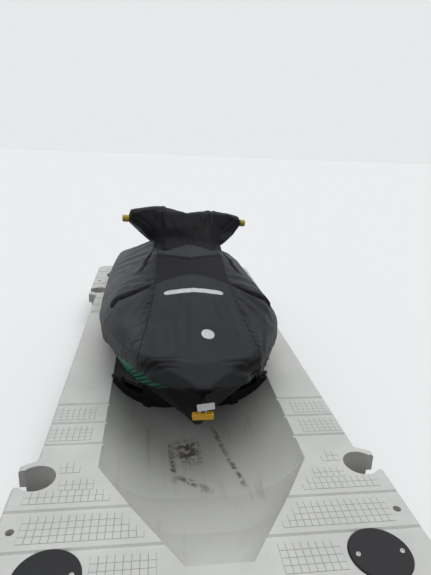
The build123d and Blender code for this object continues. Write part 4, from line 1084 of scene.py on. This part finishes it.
def makeHood():
    sizes = hoodSizes
    bm = remeshed(hoodForm(), "hoodForm", sizes["voxel"])
    # the sheet ends a little way under the cover
    sunk = []
    for v in bm.verts:
        if v.co.z > -0.01:
            continue
        x, y, z = (float(value) for value in fromSteering(np.array([v.co]))[0])
        if z < bodyTop(x, y) - sizes["sunk"]:
            sunk.append(v)
    bmesh.ops.delete(bm, geom=sunk, context="VERTS")
    soft = [v for v in bm.verts if not v.is_boundary]
    soften(bm, soft, sizes["softening"])
    # its front falls in one plane from the top edge, and runs out forwards at the foot
    levels, reaches = zip(*sizes["frontFall"])
    for v in bm.verts:
        if v.co.z < levels[0] or v.co.z > levels[-1]:
            continue
        target = hoodAt(v.co.y)[3] / float(hoodTable[0, 4]) * float(np.interp(v.co.z, levels, reaches))
        share = float(ramp(v.co.x, 0.25 * target, max(0.4 * target, 0.01)))
        v.co.x += (target - v.co.x) * eased(share)
    (half, less), passes = sizes["frontHalf"], sizes["frontPasses"]
    foot, head = sizes["frontLevels"]
    front = [v for v in soft if abs(v.co.y) < half and v.co.x > 0 and foot < v.co.z < head]
    for k in range(passes):
        soften(bm, [v for v in front if abs(v.co.y) < half - less * k / passes])
    hood = finishMesh(bm, "coverHood", None, coverCloth)
    height, lines = hoodRelief(meshCo(hood.data))
    raiseRelief(hood.data, height)
    writeLines(hood.data, lines)
    hood.data.vertices.foreach_set("co", fromSteering(meshCo(hood.data)).ravel())
    hood.data.update()
    return hood


coverSheet = makeCoverSheet()
coverHood = makeHood()
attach(coverSheet, "root")
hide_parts("cover_body")
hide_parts("cover_hood")
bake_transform(coverHood)


# finishes of the pieces that come with the frame

def floatFinish():
    # weathered rotomoulded plastic: faint mould texture, grime in the trough, scuffs on the deck,
    # and painted shade down in the trough and between the pad cells
    look = {"grey": (0.60, 0.60, 0.575), "worn": (0.53, 0.53, 0.508), "grime": (0.075, 0.050, 0.034),
            "troughShade": (0.44, 0.44, 0.415), "padGapShade": (0.32, 0.32, 0.305),
            "roughness": 0.54, "spread": 0.2, "specular": 0.35, "bump": 0.0005,
            "patches": (0.35, 0.7), "streaks": (0.52, 0.75), "streaked": 0.35, "grimed": 0.9,
            "trough": (0.17, 0.378),  # from its floor to the deck
            "padFoot": (0.38015, 0.38025),
            "padTop": (0.3809, 0.3816),
            "grimeTop": (0.24, 0.28),
            "broken": {"blot": (0.47, 0.54), "streak": (0.38, 0.62)},
            # where the grime lies: kind, from x, y, to x, y, width
            "marks": (("blot", 0.84, -0.055, 1.02, -0.045, 0.10), ("streak", 0.72, 0.112, 1.22, 0.216, 0.020),
                      ("streak", 0.86, -0.145, 1.16, -0.135, 0.022),
                      ("streak", 1.14, -0.10, 1.24, 0.02, 0.050))}
    material, tree, shader, grain, patches = grainedMaterial("floatPlastic", 420.0, 2.6, look["roughness"],
                                                             look["spread"])
    place, x, y, z = placeOf(tree)
    # painted shade down in the trough
    low = falling(tree, z, *look["trough"])
    # painted shade in the gaps between the pad cells
    between = times(tree, rising(tree, z, *look["padFoot"]), falling(tree, z, *look["padTop"]))
    # grime that the bow and the trailing water leave in the trough
    spots = noiseAt(tree, place, 26.0, 8.0, 0.68, 0.8)
    masks = []
    for kind, ax, ay, bx, by, wide in look["marks"]:
        middle = addNode(tree, "MapRange", dict(enumerate((x, ax, bx, ay, by)))).outputs[0]
        across = mathNode(tree, "ABSOLUTE", mathNode(tree, "SUBTRACT", y, middle))
        along = times(tree, rising(tree, x, ax - 0.05, ax + 0.04), falling(tree, x, bx - 0.04, bx + 0.05))
        broken = rising(tree, spots, *look["broken"][kind])
        masks.append(times(tree, falling(tree, across, wide * 0.3, wide), along, broken))
    grime = times(tree, combine(tree, "MAXIMUM", *masks), falling(tree, z, *look["grimeTop"]),
                  look["grimed"])
    stretched = addNode(tree, "Mapping", {"Vector": place, "Scale": (0.25, 3.0, 1.0)}).outputs[0]
    water = rising(tree, noiseAt(tree, stretched, 7.0, 5.0, 0.6), *look["streaks"])
    water = times(tree, water, low, look["streaked"])
    colour = mixColours(tree, rising(tree, patches, *look["patches"]), look["worn"], look["grey"])
    # painted shade in the trough and between the pad cells, then grime
    for mask, label in ((low, "troughShade"), (between, "padGapShade"), (water, "grime"), (grime, "grime")):
        colour = mixColours(tree, mask, colour, look[label])
    feed(tree, shader, {"Base Color": colour, "Specular IOR Level": look["specular"]})
    bumpInto(tree, shader, grain, look["bump"])
    return material


def hullFinish():
    # dark gelcoat with a band of slanted stripes under the gunwale near the bow
    look = {"black": (0.0035, 0.0035, 0.004), "green": (0.020, 0.19, 0.105), "stripe": 0.038, "slant": -1.65,
            "striped": 0.62,  # share of each stripe's step
            "solidUpTo": -0.25,  # in the slanted measure, where the stripes give way to a whole field
            "bandEnds": (0.50, -0.03),  # from x, to the slanted measure
            "ceiling": (0.05, 0.66),  # rise along x, and height at x = 0
            "floor": (0.30, 0.302),
            "roughness": 0.37, "spread": 0.14, "specular": 0.07, "bump": 0.00006}
    material, tree, shader, grain, _ = grainedMaterial("hullGelcoat", 900.0, 5.0, look["roughness"],
                                                       look["spread"])
    x, _, z = placeOf(tree)[1:]
    turned = mathNode(tree, "MULTIPLY_ADD", z, look["slant"], x)
    teeth = mathNode(tree, "FRACT", mathNode(tree, "DIVIDE", turned, look["stripe"]))
    bars = mathNode(tree, "MAXIMUM", mathNode(tree, "LESS_THAN", teeth, look["striped"]),
                    mathNode(tree, "LESS_THAN", turned, look["solidUpTo"]))
    band = times(tree, bars,
                 mathNode(tree, "LESS_THAN", z, mathNode(tree, "MULTIPLY_ADD", x, *look["ceiling"])),
                 mathNode(tree, "GREATER_THAN", z, mathNode(tree, "MULTIPLY_ADD", x, *look["floor"])),
                 mathNode(tree, "GREATER_THAN", x, look["bandEnds"][0]),
                 mathNode(tree, "LESS_THAN", turned, look["bandEnds"][1]))
    feed(tree, shader, {"Base Color": mixColours(tree, band, look["black"], look["green"]),
                        "Specular IOR Level": look["specular"]})
    bumpInto(tree, shader, grain, look["bump"])
    return material


def gripFinish():
    # black rubber with yellow ribbed ends
    look = {"black": (0.02, 0.02, 0.021), "yellow": (0.74, 0.55, 0.045), "yellowFrom": 0.415, "edge": 0.001,
            "veins": (0.04, 0.10), "veinMuch": 0.85, "veinDepth": -2.0, "roughness": 0.6, "spread": 0.2,
            "bump": 0.0004}
    material, tree, shader, grain, _ = grainedMaterial("gripRubber", 1200.0, 9.0, look["roughness"],
                                                       look["spread"])
    place, _, y, _ = placeOf(tree)
    end = rising(tree, mathNode(tree, "ABSOLUTE", y), look["yellowFrom"] - look["edge"],
                 look["yellowFrom"] + look["edge"])
    marks = addNode(tree, "TexVoronoi", {}, feature="DISTANCE_TO_EDGE")
    feed(tree, marks, {"Vector": place, "Scale": 95.0})
    veins = falling(tree, marks.outputs["Distance"], *look["veins"])
    tip = mixColours(tree, times(tree, veins, look["veinMuch"]), look["yellow"], look["black"])
    feed(tree, shader, {"Base Color": mixColours(tree, end, look["black"], tip)})
    bumpInto(tree, shader, mathNode(tree, "MULTIPLY_ADD", veins, look["veinDepth"], grain), look["bump"])
    return material


finishes = {
    "float_plastic": floatFinish(),
    "hatch_plastic": plainFinish("hatchPlastic", (0.013, 0.0135, 0.0155), 0.36, (700, 0.0003), specular=0.25),
    "stop_plastic": plainFinish("stopRubber", (0.010, 0.010, 0.011), 0.34, (600, 0.0004), specular=0.3),
    "pin_plastic": plainFinish("pinPlastic", (0.03, 0.03, 0.032), 0.45),
    "roller_rubber": plainFinish("rollerRubber", (0.028, 0.028, 0.028), 0.7, (800, 0.0004)),
    "hull_gelcoat": hullFinish(),
    "deck_gelcoat": plainFinish("deckGelcoat", (0.022, 0.024, 0.027), 0.25, (900, 0.00005), coat=0.5),
    "rail_rubber": plainFinish("railRubber", (0.012, 0.012, 0.0125), 0.6, (700, 0.0003), specular=0.2),
    "seat_vinyl": plainFinish("seatVinyl", (0.03, 0.031, 0.034), 0.5, (650, 0.0006)),
    "bar_alloy": plainFinish("blackAlloy", (0.04, 0.04, 0.043), 0.35, (500, 0.00008), metallic=0.6),
    "grip_rubber": gripFinish(),
    "pump_alloy": plainFinish("castAlloy", (0.42, 0.43, 0.44), 0.42, metallic=0.9),
    "impeller_steel": plainFinish("polishedSteel", (0.62, 0.62, 0.61), 0.22, (500, 0.00005), metallic=1.0),
    "engine_paint": plainFinish("enginePaint", (0.10, 0.105, 0.11), 0.5, (450, 0.0003)),
    "fitting_steel": plainFinish("stainlessSteel", (0.58, 0.58, 0.57), 0.25, (500, 0.00006), metallic=1.0),
    "fitting_plastic": plainFinish("fittingPlastic", (0.02, 0.02, 0.022), 0.5, (600, 0.0003)),
    "lock_plastic": plainFinish("lockYellow", (0.70, 0.36, 0.012), 0.42, (700, 0.0003), shade=0.85),
    "lock_steel": plainFinish("shackleSleeve", (0.52, 0.53, 0.50), 0.4, (900, 0.0002)),
}
slotOf = {part["node"]: part["material_slot"] for part in frame["record"]["subparts"]}
for name, node in nodes.items():
    if slotOf[name] in finishes:
        node.data.materials.clear()
        node.data.materials.append(finishes[slotOf[name]])
        for polygon in node.data.polygons:
            polygon.material_index = 0
print("finishes:", len(finishes))


def finishPiece(bm, name, body, slotName, material=None, smooth=True):
    # in its slot's own finish unless it has another
    bmesh.ops.recalc_face_normals(bm, faces=bm.faces[:])
    return finishMesh(bm, name, body, material or finishes[slotName], smooth)


# footing pads on the float: raised cells in rows, on both sides and both halves

padSizes = {
    "cell": 0.0300,  # across
    "gap": 0.0027,  # half the gap between cells
    "raise": 0.0019,
    "base": 0.3803,  # just above the float's deck
    "skirt": 0.0015,
    # from x, to x, rows, inner y at both, outer y at both
    "bow": ((0.772, 0.893, 4, 0.535, 0.535, 0.765, 0.765), (0.957, 1.078, 4, 0.535, 0.535, 0.765, 0.765),
            (1.246, 1.322, 2, 0.588, 0.556, 0.668, 0.664), (1.368, 1.434, 2, 0.500, 0.470, 0.652, 0.652),
            (1.434, 1.508, 2, 0.455, 0.400, 0.785, 0.785), (1.578, 1.714, 4, 0.355, 0.258, 0.757, 0.757),
            (1.788, 1.924, 4, 0.225, 0.200, 0.470, 0.470), (2.035, 2.165, 4, 0.120, 0.120, 0.757, 0.757)),
    "stern": ((-0.893, -0.772, 4, 0.535, 0.535, 0.765, 0.765),
              (-1.078, -0.957, 4, 0.535, 0.535, 0.765, 0.765),
              (-1.508, -1.440, 2, 0.535, 0.535, 0.785, 0.785),
              (-1.710, -1.578, 4, 0.535, 0.535, 0.757, 0.757),
              (-2.165, -2.035, 4, 0.535, 0.535, 0.757, 0.757)),
}


def makePads():
    sizes = padSizes
    bm = bmesh.new()
    for start, end, rows, inner, innerEnd, outer, outerEnd in sizes["bow"] + sizes["stern"]:
        deep = (end - start) / rows
        for row in range(rows):
            share = (row + 0.5) / rows
            near = inner + (innerEnd - inner) * share
            far = outer + (outerEnd - outer) * share
            count = int((far - near) / sizes["cell"])
            long = count * sizes["cell"]
            for side in (-1, 1):
                middle = (start + deep * (row + 0.5), side * (far - long / 2), sizes["base"])
                bmesh.ops.create_grid(bm, x_segments=1, y_segments=count, size=0.5,
                                      matrix=Matrix.Translation(middle) @ Matrix.Diagonal((deep, long, 1, 1)))
    bmesh.ops.remove_doubles(bm, verts=bm.verts[:], dist=0.0002)
    rim = [e for e in bm.edges if e.is_boundary]
    bmesh.ops.inset_individual(bm, faces=bm.faces[:], thickness=sizes["gap"], depth=sizes["raise"])
    skirt = bmesh.ops.extrude_edge_only(bm, edges=rim)["geom"]
    down = [g for g in skirt if isinstance(g, bmesh.types.BMVert)]
    bmesh.ops.translate(bm, verts=down, vec=(0, 0, -sizes["skirt"]))
    return finishPiece(bm, "footingPads", "root", "float_plastic", smooth=False)


makePads()


# two steel screws in each inspection cover

screwSizes = {"x": 1.868, "y": 0.612, "apart": 0.088, "top": 0.388, "radius": 0.0105, "taper": 0.8,
              "head": 0.0032, "socket": 0.0045, "rim": 0.0004}


def makeScrews():
    sizes = screwSizes
    small = sizes["radius"] * sizes["taper"]
    bm = bmesh.new()
    for x in (-sizes["x"], sizes["x"]):
        for y in (-sizes["y"], sizes["y"]):
            for step in (-sizes["apart"], sizes["apart"]):
                place = Matrix.Translation((x, y + step, sizes["top"] + sizes["head"] / 2))
                head = bmesh.ops.create_cone(bm, cap_ends=True, segments=24, radius1=sizes["radius"],
                                             radius2=small, depth=sizes["head"], matrix=place)
                faces = {f for v in head["verts"] for f in v.link_faces}
                top = max(faces, key=lambda f: f.calc_center_median().z)
                bmesh.ops.inset_region(bm, faces=[top], thickness=small - sizes["socket"])
                bmesh.ops.inset_region(bm, faces=[top], thickness=sizes["rim"], depth=-sizes["head"] * 0.8)
    return finishPiece(bm, "hatchScrews", "root", "fitting_steel", smooth=False)


makeScrews()


# plain pale trim, laid on the cover

def trimPiece(name, segments, shaped, surface, finish):
    bm = bmesh.new()
    bmesh.ops.create_grid(bm, x_segments=segments[0], y_segments=segments[1], size=1)
    for v in bm.verts:
        x, y = shaped(v.co.x, v.co.y)
        v.co = (x, y, fallOnto(surface, x, y).z + trimSizes["above"])
    piece = finishPiece(bm, name, "root", "cover_fabric", finish)
    wall = piece.modifiers.new("wall", "SOLIDIFY")
    wall.thickness = trimSizes["thick"]
    wall.offset = -1 if piece.data.polygons[0].normal.z > 0 else 1


def stripShape(x, y):
    sizes = trimSizes
    port = y * sizes["half"]
    end = max((1 - abs(y) ** 14) ** 0.5, 0.05)
    return sizes["middle"] + sizes["bend"] * port * port + x * sizes["width"] / 2 * end, port


def discShape(x, y):
    ahead, port = trimSizes["disc"]
    radius = trimSizes["discRadius"]
    return ahead + radius * x * (1 - y * y / 2) ** 0.5, port + radius * y * (1 - x * x / 2) ** 0.5


def makeTrim():
    finish = plainFinish("paleTrim", (0.56, 0.57, 0.57), 0.4, (1500, 0.0001), patchScale=30, shade=0.8)
    surface = treeOf(coverSheet.data, meshCo(coverSheet.data))
    trimPiece("paleStrip", (6, 70), stripShape, surface, finish)
    trimPiece("paleDisc", (14, 14), discShape, surface, finish)


makeTrim()


# ribbed yellow ends on the grips, and the blank tag at the lock

gripEndSizes = {"from": 0.408, "to": 0.461, "radius": 0.0245, "ring": 0.0022, "rings": 5, "steps": 40,
                "roundFrom": 0.86}


def makeGripEnds():
    sizes = gripEndSizes
    bm = bmesh.new()
    for side in (-1, 1):
        profile = []
        for k in range(sizes["steps"] + 1):
            t = k / sizes["steps"]
            y = sizes["from"] + (sizes["to"] - sizes["from"]) * t
            radius = sizes["radius"] + sizes["ring"] * (abs(sin(pi * sizes["rings"] * t)) ** 0.5 - 0.5)
            rounded = max((t - sizes["roundFrom"]) / (1 - sizes["roundFrom"]), 0)
            radius *= (1 - rounded ** 2.2) ** 0.5 if t < 1 else 0
            profile.append(bm.verts.new((radius, side * y, 0)))
        edges = [bm.edges.new(pair) for pair in zip(profile, profile[1:])]
        bmesh.ops.spin(bm, geom=profile + edges, cent=(0, 0, 0), axis=(0, 1, 0), angle=2 * pi, steps=36,
                       use_merge=True)
    bmesh.ops.remove_doubles(bm, verts=bm.verts[:], dist=0.0001)
    ahead, up = hoodSizes["gripEnd"]
    points = np.array([v.co for v in bm.verts]) + np.array((ahead, 0, up))
    for v, place in zip(bm.verts, fromSteering(points)):
        v.co = place
    return finishPiece(bm, "gripEnds", "steering", "grip_rubber")


makeGripEnds()

tagSizes = {"place": (1.187, 0.010, 0.617), "half": (0.043, 0.017), "thick": 0.0012, "corner": 0.005,
            "lean": -12, "tilt": 7}


def makeTag():
    sizes = tagSizes
    finish = plainFinish("tagPlastic", (0.66, 0.67, 0.68), 0.45, (900, 0.0001), patchScale=20, shade=0.85)
    bm = bmesh.new()
    wide, tall = sizes["half"]
    bmesh.ops.create_grid(bm, x_segments=1, y_segments=1, size=1, matrix=Matrix.Diagonal((tall, wide, 1, 1)))
    bmesh.ops.bevel(bm, geom=bm.verts[:], offset=sizes["corner"], affect="VERTICES", segments=4, profile=0.5,
                    material=-1)
    bmesh.ops.solidify(bm, geom=bm.faces[:], thickness=sizes["thick"])
    # stood upright, then leaned and tilted a little
    turn = Matrix.Rotation(radians(sizes["tilt"]), 4, "X") @ Matrix.Rotation(radians(sizes["lean"]), 4, "Y")
    upright = Matrix.Rotation(radians(-90), 4, "Y")
    bmesh.ops.transform(bm, matrix=Matrix.Translation(sizes["place"]) @ turn @ upright, verts=bm.verts[:])
    return finishPiece(bm, "blankTag", "root", "lock_steel", finish, smooth=False)


makeTag()


# padded pieces under the cover: the two seats and the pad on the handlebar

padded = {
    "riderCushion": {"node": "rider_seat", "body": "root", "voxel": 0.0085, "shrink": 0.004, "cap": 0.006,
                     "fill": 0.85, "seams": (-0.70, -0.84, -0.98)},
    "passengerCushion": {"node": "passenger_seat", "body": "root", "voxel": 0.0085, "shrink": 0.004,
                         "cap": 0.006, "fill": 0.85, "seams": (-1.30, -1.45, -1.60)},
    "barCushion": {"node": "bar_pad", "body": "steering", "voxel": 0.005, "shrink": 0.003, "cap": 0.004,
                   "fill": 0.8, "seams": ()},
}
swelling = {"frames": 20, "pressure": 4, "quality": 4}
# depth or height, and width
cushionSewing = {"channel": (0.0035, 0.007), "welt": (0.0018, 0.006), "weltAt": 0.80, "topDepth": 0.10}


def swell(piece, cap):
    # pressure from inside, with no point moving further than the cap
    scene = bpy.context.scene
    before = meshCo(piece.data)
    cloth = piece.modifiers.new("pressure", "CLOTH")
    cloth.settings.use_pressure = True
    cloth.settings.uniform_pressure_force = swelling["pressure"]
    cloth.settings.effector_weights.gravity = 0
    cloth.settings.quality = swelling["quality"]
    for step in range(swelling["frames"]):
        scene.frame_set(step + 1)
    graph = bpy.context.evaluated_depsgraph_get()
    result = bpy.data.meshes.new_from_object(piece.evaluated_get(graph))
    moved = meshCo(result) - before
    piece.modifiers.remove(cloth)
    bpy.data.meshes.remove(result)
    scene.frame_set(1)
    length = np.maximum(np.linalg.norm(moved, axis=1), 1e-9)
    moved *= np.minimum(1, cap / length)[:, None]
    piece.data.vertices.foreach_set("co", (before + moved).ravel())
    piece.data.update()


def makeCushion(name, sizes):
    bm = bmesh.new()
    bm.from_mesh(nodes[sizes["node"]].data)
    bmesh.ops.remove_doubles(bm, verts=bm.verts[:], dist=0.0001)
    bm.normal_update()
    for v in bm.verts:
        v.co -= v.normal * sizes["shrink"]
    bm = remeshed(bm, name, sizes["voxel"])
    soften(bm, bm.verts[:], 3)
    piece = finishMesh(bm, name, sizes["body"], finishes["seat_vinyl"])
    swell(piece, sizes["cap"])
    # sewn channels across the top, and a welt along its edges
    x, y, z = meshCo(piece.data).T
    top = z > z.max() - cushionSewing["topDepth"]
    height = np.zeros(len(x))
    deep, wide = cushionSewing["channel"]
    for seam in sizes["seams"]:
        height -= deep * bell(x - seam, wide) * top
    high, wide = cushionSewing["welt"]
    edge = np.abs(y).max() * cushionSewing["weltAt"]
    height += high * bell(np.abs(y) - edge, wide) * top
    raiseRelief(piece.data, height)
    finer = piece.modifiers.new("finer", "SUBSURF")
    finer.levels = finer.render_levels = 1
    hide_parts(sizes["node"])
    return piece


for name, sizes in padded.items():
    makeCushion(name, sizes)
print("pads, screws, trim, tag and cushions made")


# pale studio: a flat floor, a pale world, soft light from above and ahead, and the camera

studio = {
    "floorSeen": (0.86, 0.86, 0.855),
    "floorLit": (0.16, 0.16, 0.16),  # towards the object, so that its sides stay dark
    "floorSize": 80.0,
    "skySeen": (0.80, 0.81, 0.82),
    "skyLight": (0.93, 0.97, 1.0),
    "skyLevel": 0.15,  # at the horizon, and how much more overhead
    "skyMore": 0.78,
    "lamps": (
        {"name": "overhead", "place": (-1.2, 0.7, 6.0), "aim": (0, 0, 0), "spread": 55, "strength": 1.35},
        {"name": "ahead", "place": (5.0, -3.0, 5.0), "aim": (0, 0, 0), "spread": 40, "strength": 0.22},
    ),
    "cameraPlace": (3.20, -0.245, 1.87),
    "cameraTurn": (72.30, -2.346, 82.934),
    "cameraLens": 30.05,
}


def seenByCamera(tree):
    # 1 for camera, glossy and transmission rays
    rays = addNode(tree, "LightPath", {}).outputs
    return combine(tree, "MAXIMUM", *(rays[kind] for kind in ("Is Camera Ray", "Is Glossy Ray",
                                                              "Is Transmission Ray")))


def makeFloor():
    material, tree, shader = newMaterial("paleFloor")
    tone = mixColours(tree, seenByCamera(tree), studio["floorLit"], studio["floorSeen"])
    feed(tree, shader, {"Base Color": tone, "Roughness": 0.9, "Specular IOR Level": 0.1})
    bm = bmesh.new()
    bmesh.ops.create_grid(bm, x_segments=2, y_segments=2, size=studio["floorSize"] / 2)
    finishMesh(bm, "paleFloorSheet", None, material, smooth=False)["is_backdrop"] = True


def makeSky():
    world = bpy.data.worlds.new("paleWorld")
    bpy.context.scene.world = world
    world.use_nodes = True
    tree = world.node_tree
    seen = seenByCamera(tree)
    z = placeOf(tree, "Generated")[3]
    level = mathNode(tree, "MULTIPLY_ADD", times(tree, z, z), studio["skyMore"], studio["skyLevel"])
    feed(tree, tree.nodes["Background"], {
        "Color": mixColours(tree, seen, studio["skyLight"], studio["skySeen"]),
        "Strength": mathNode(tree, "MAXIMUM", level, seen)})


def makeLamps():
    for lamp in studio["lamps"]:
        light = bpy.data.lights.new(lamp["name"], "SUN")
        light.angle = radians(lamp["spread"])
        light.energy = lamp["strength"]
        holder = intoScene(lamp["name"], light)
        holder.location = lamp["place"]
        toward = Vector(lamp["aim"]) - Vector(lamp["place"])
        holder.rotation_euler = toward.to_track_quat("-Z", "Y").to_euler()


def makeCamera():
    camera = bpy.data.cameras.new("photoCamera")
    camera.lens = studio["cameraLens"]
    camera.sensor_width = 36.0
    holder = intoScene("photoCamera", camera)
    holder.location = studio["cameraPlace"]
    holder.rotation_euler = [radians(a) for a in studio["cameraTurn"]]
    bpy.context.scene.camera = holder


makeFloor()
makeSky()
makeLamps()
makeCamera()
bpy.context.scene.view_settings.view_transform = "Standard"
print("studio ready")

sizes = {"cad": [list(corner) for corner in cadBox], "visual": [list(corner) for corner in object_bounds()]}
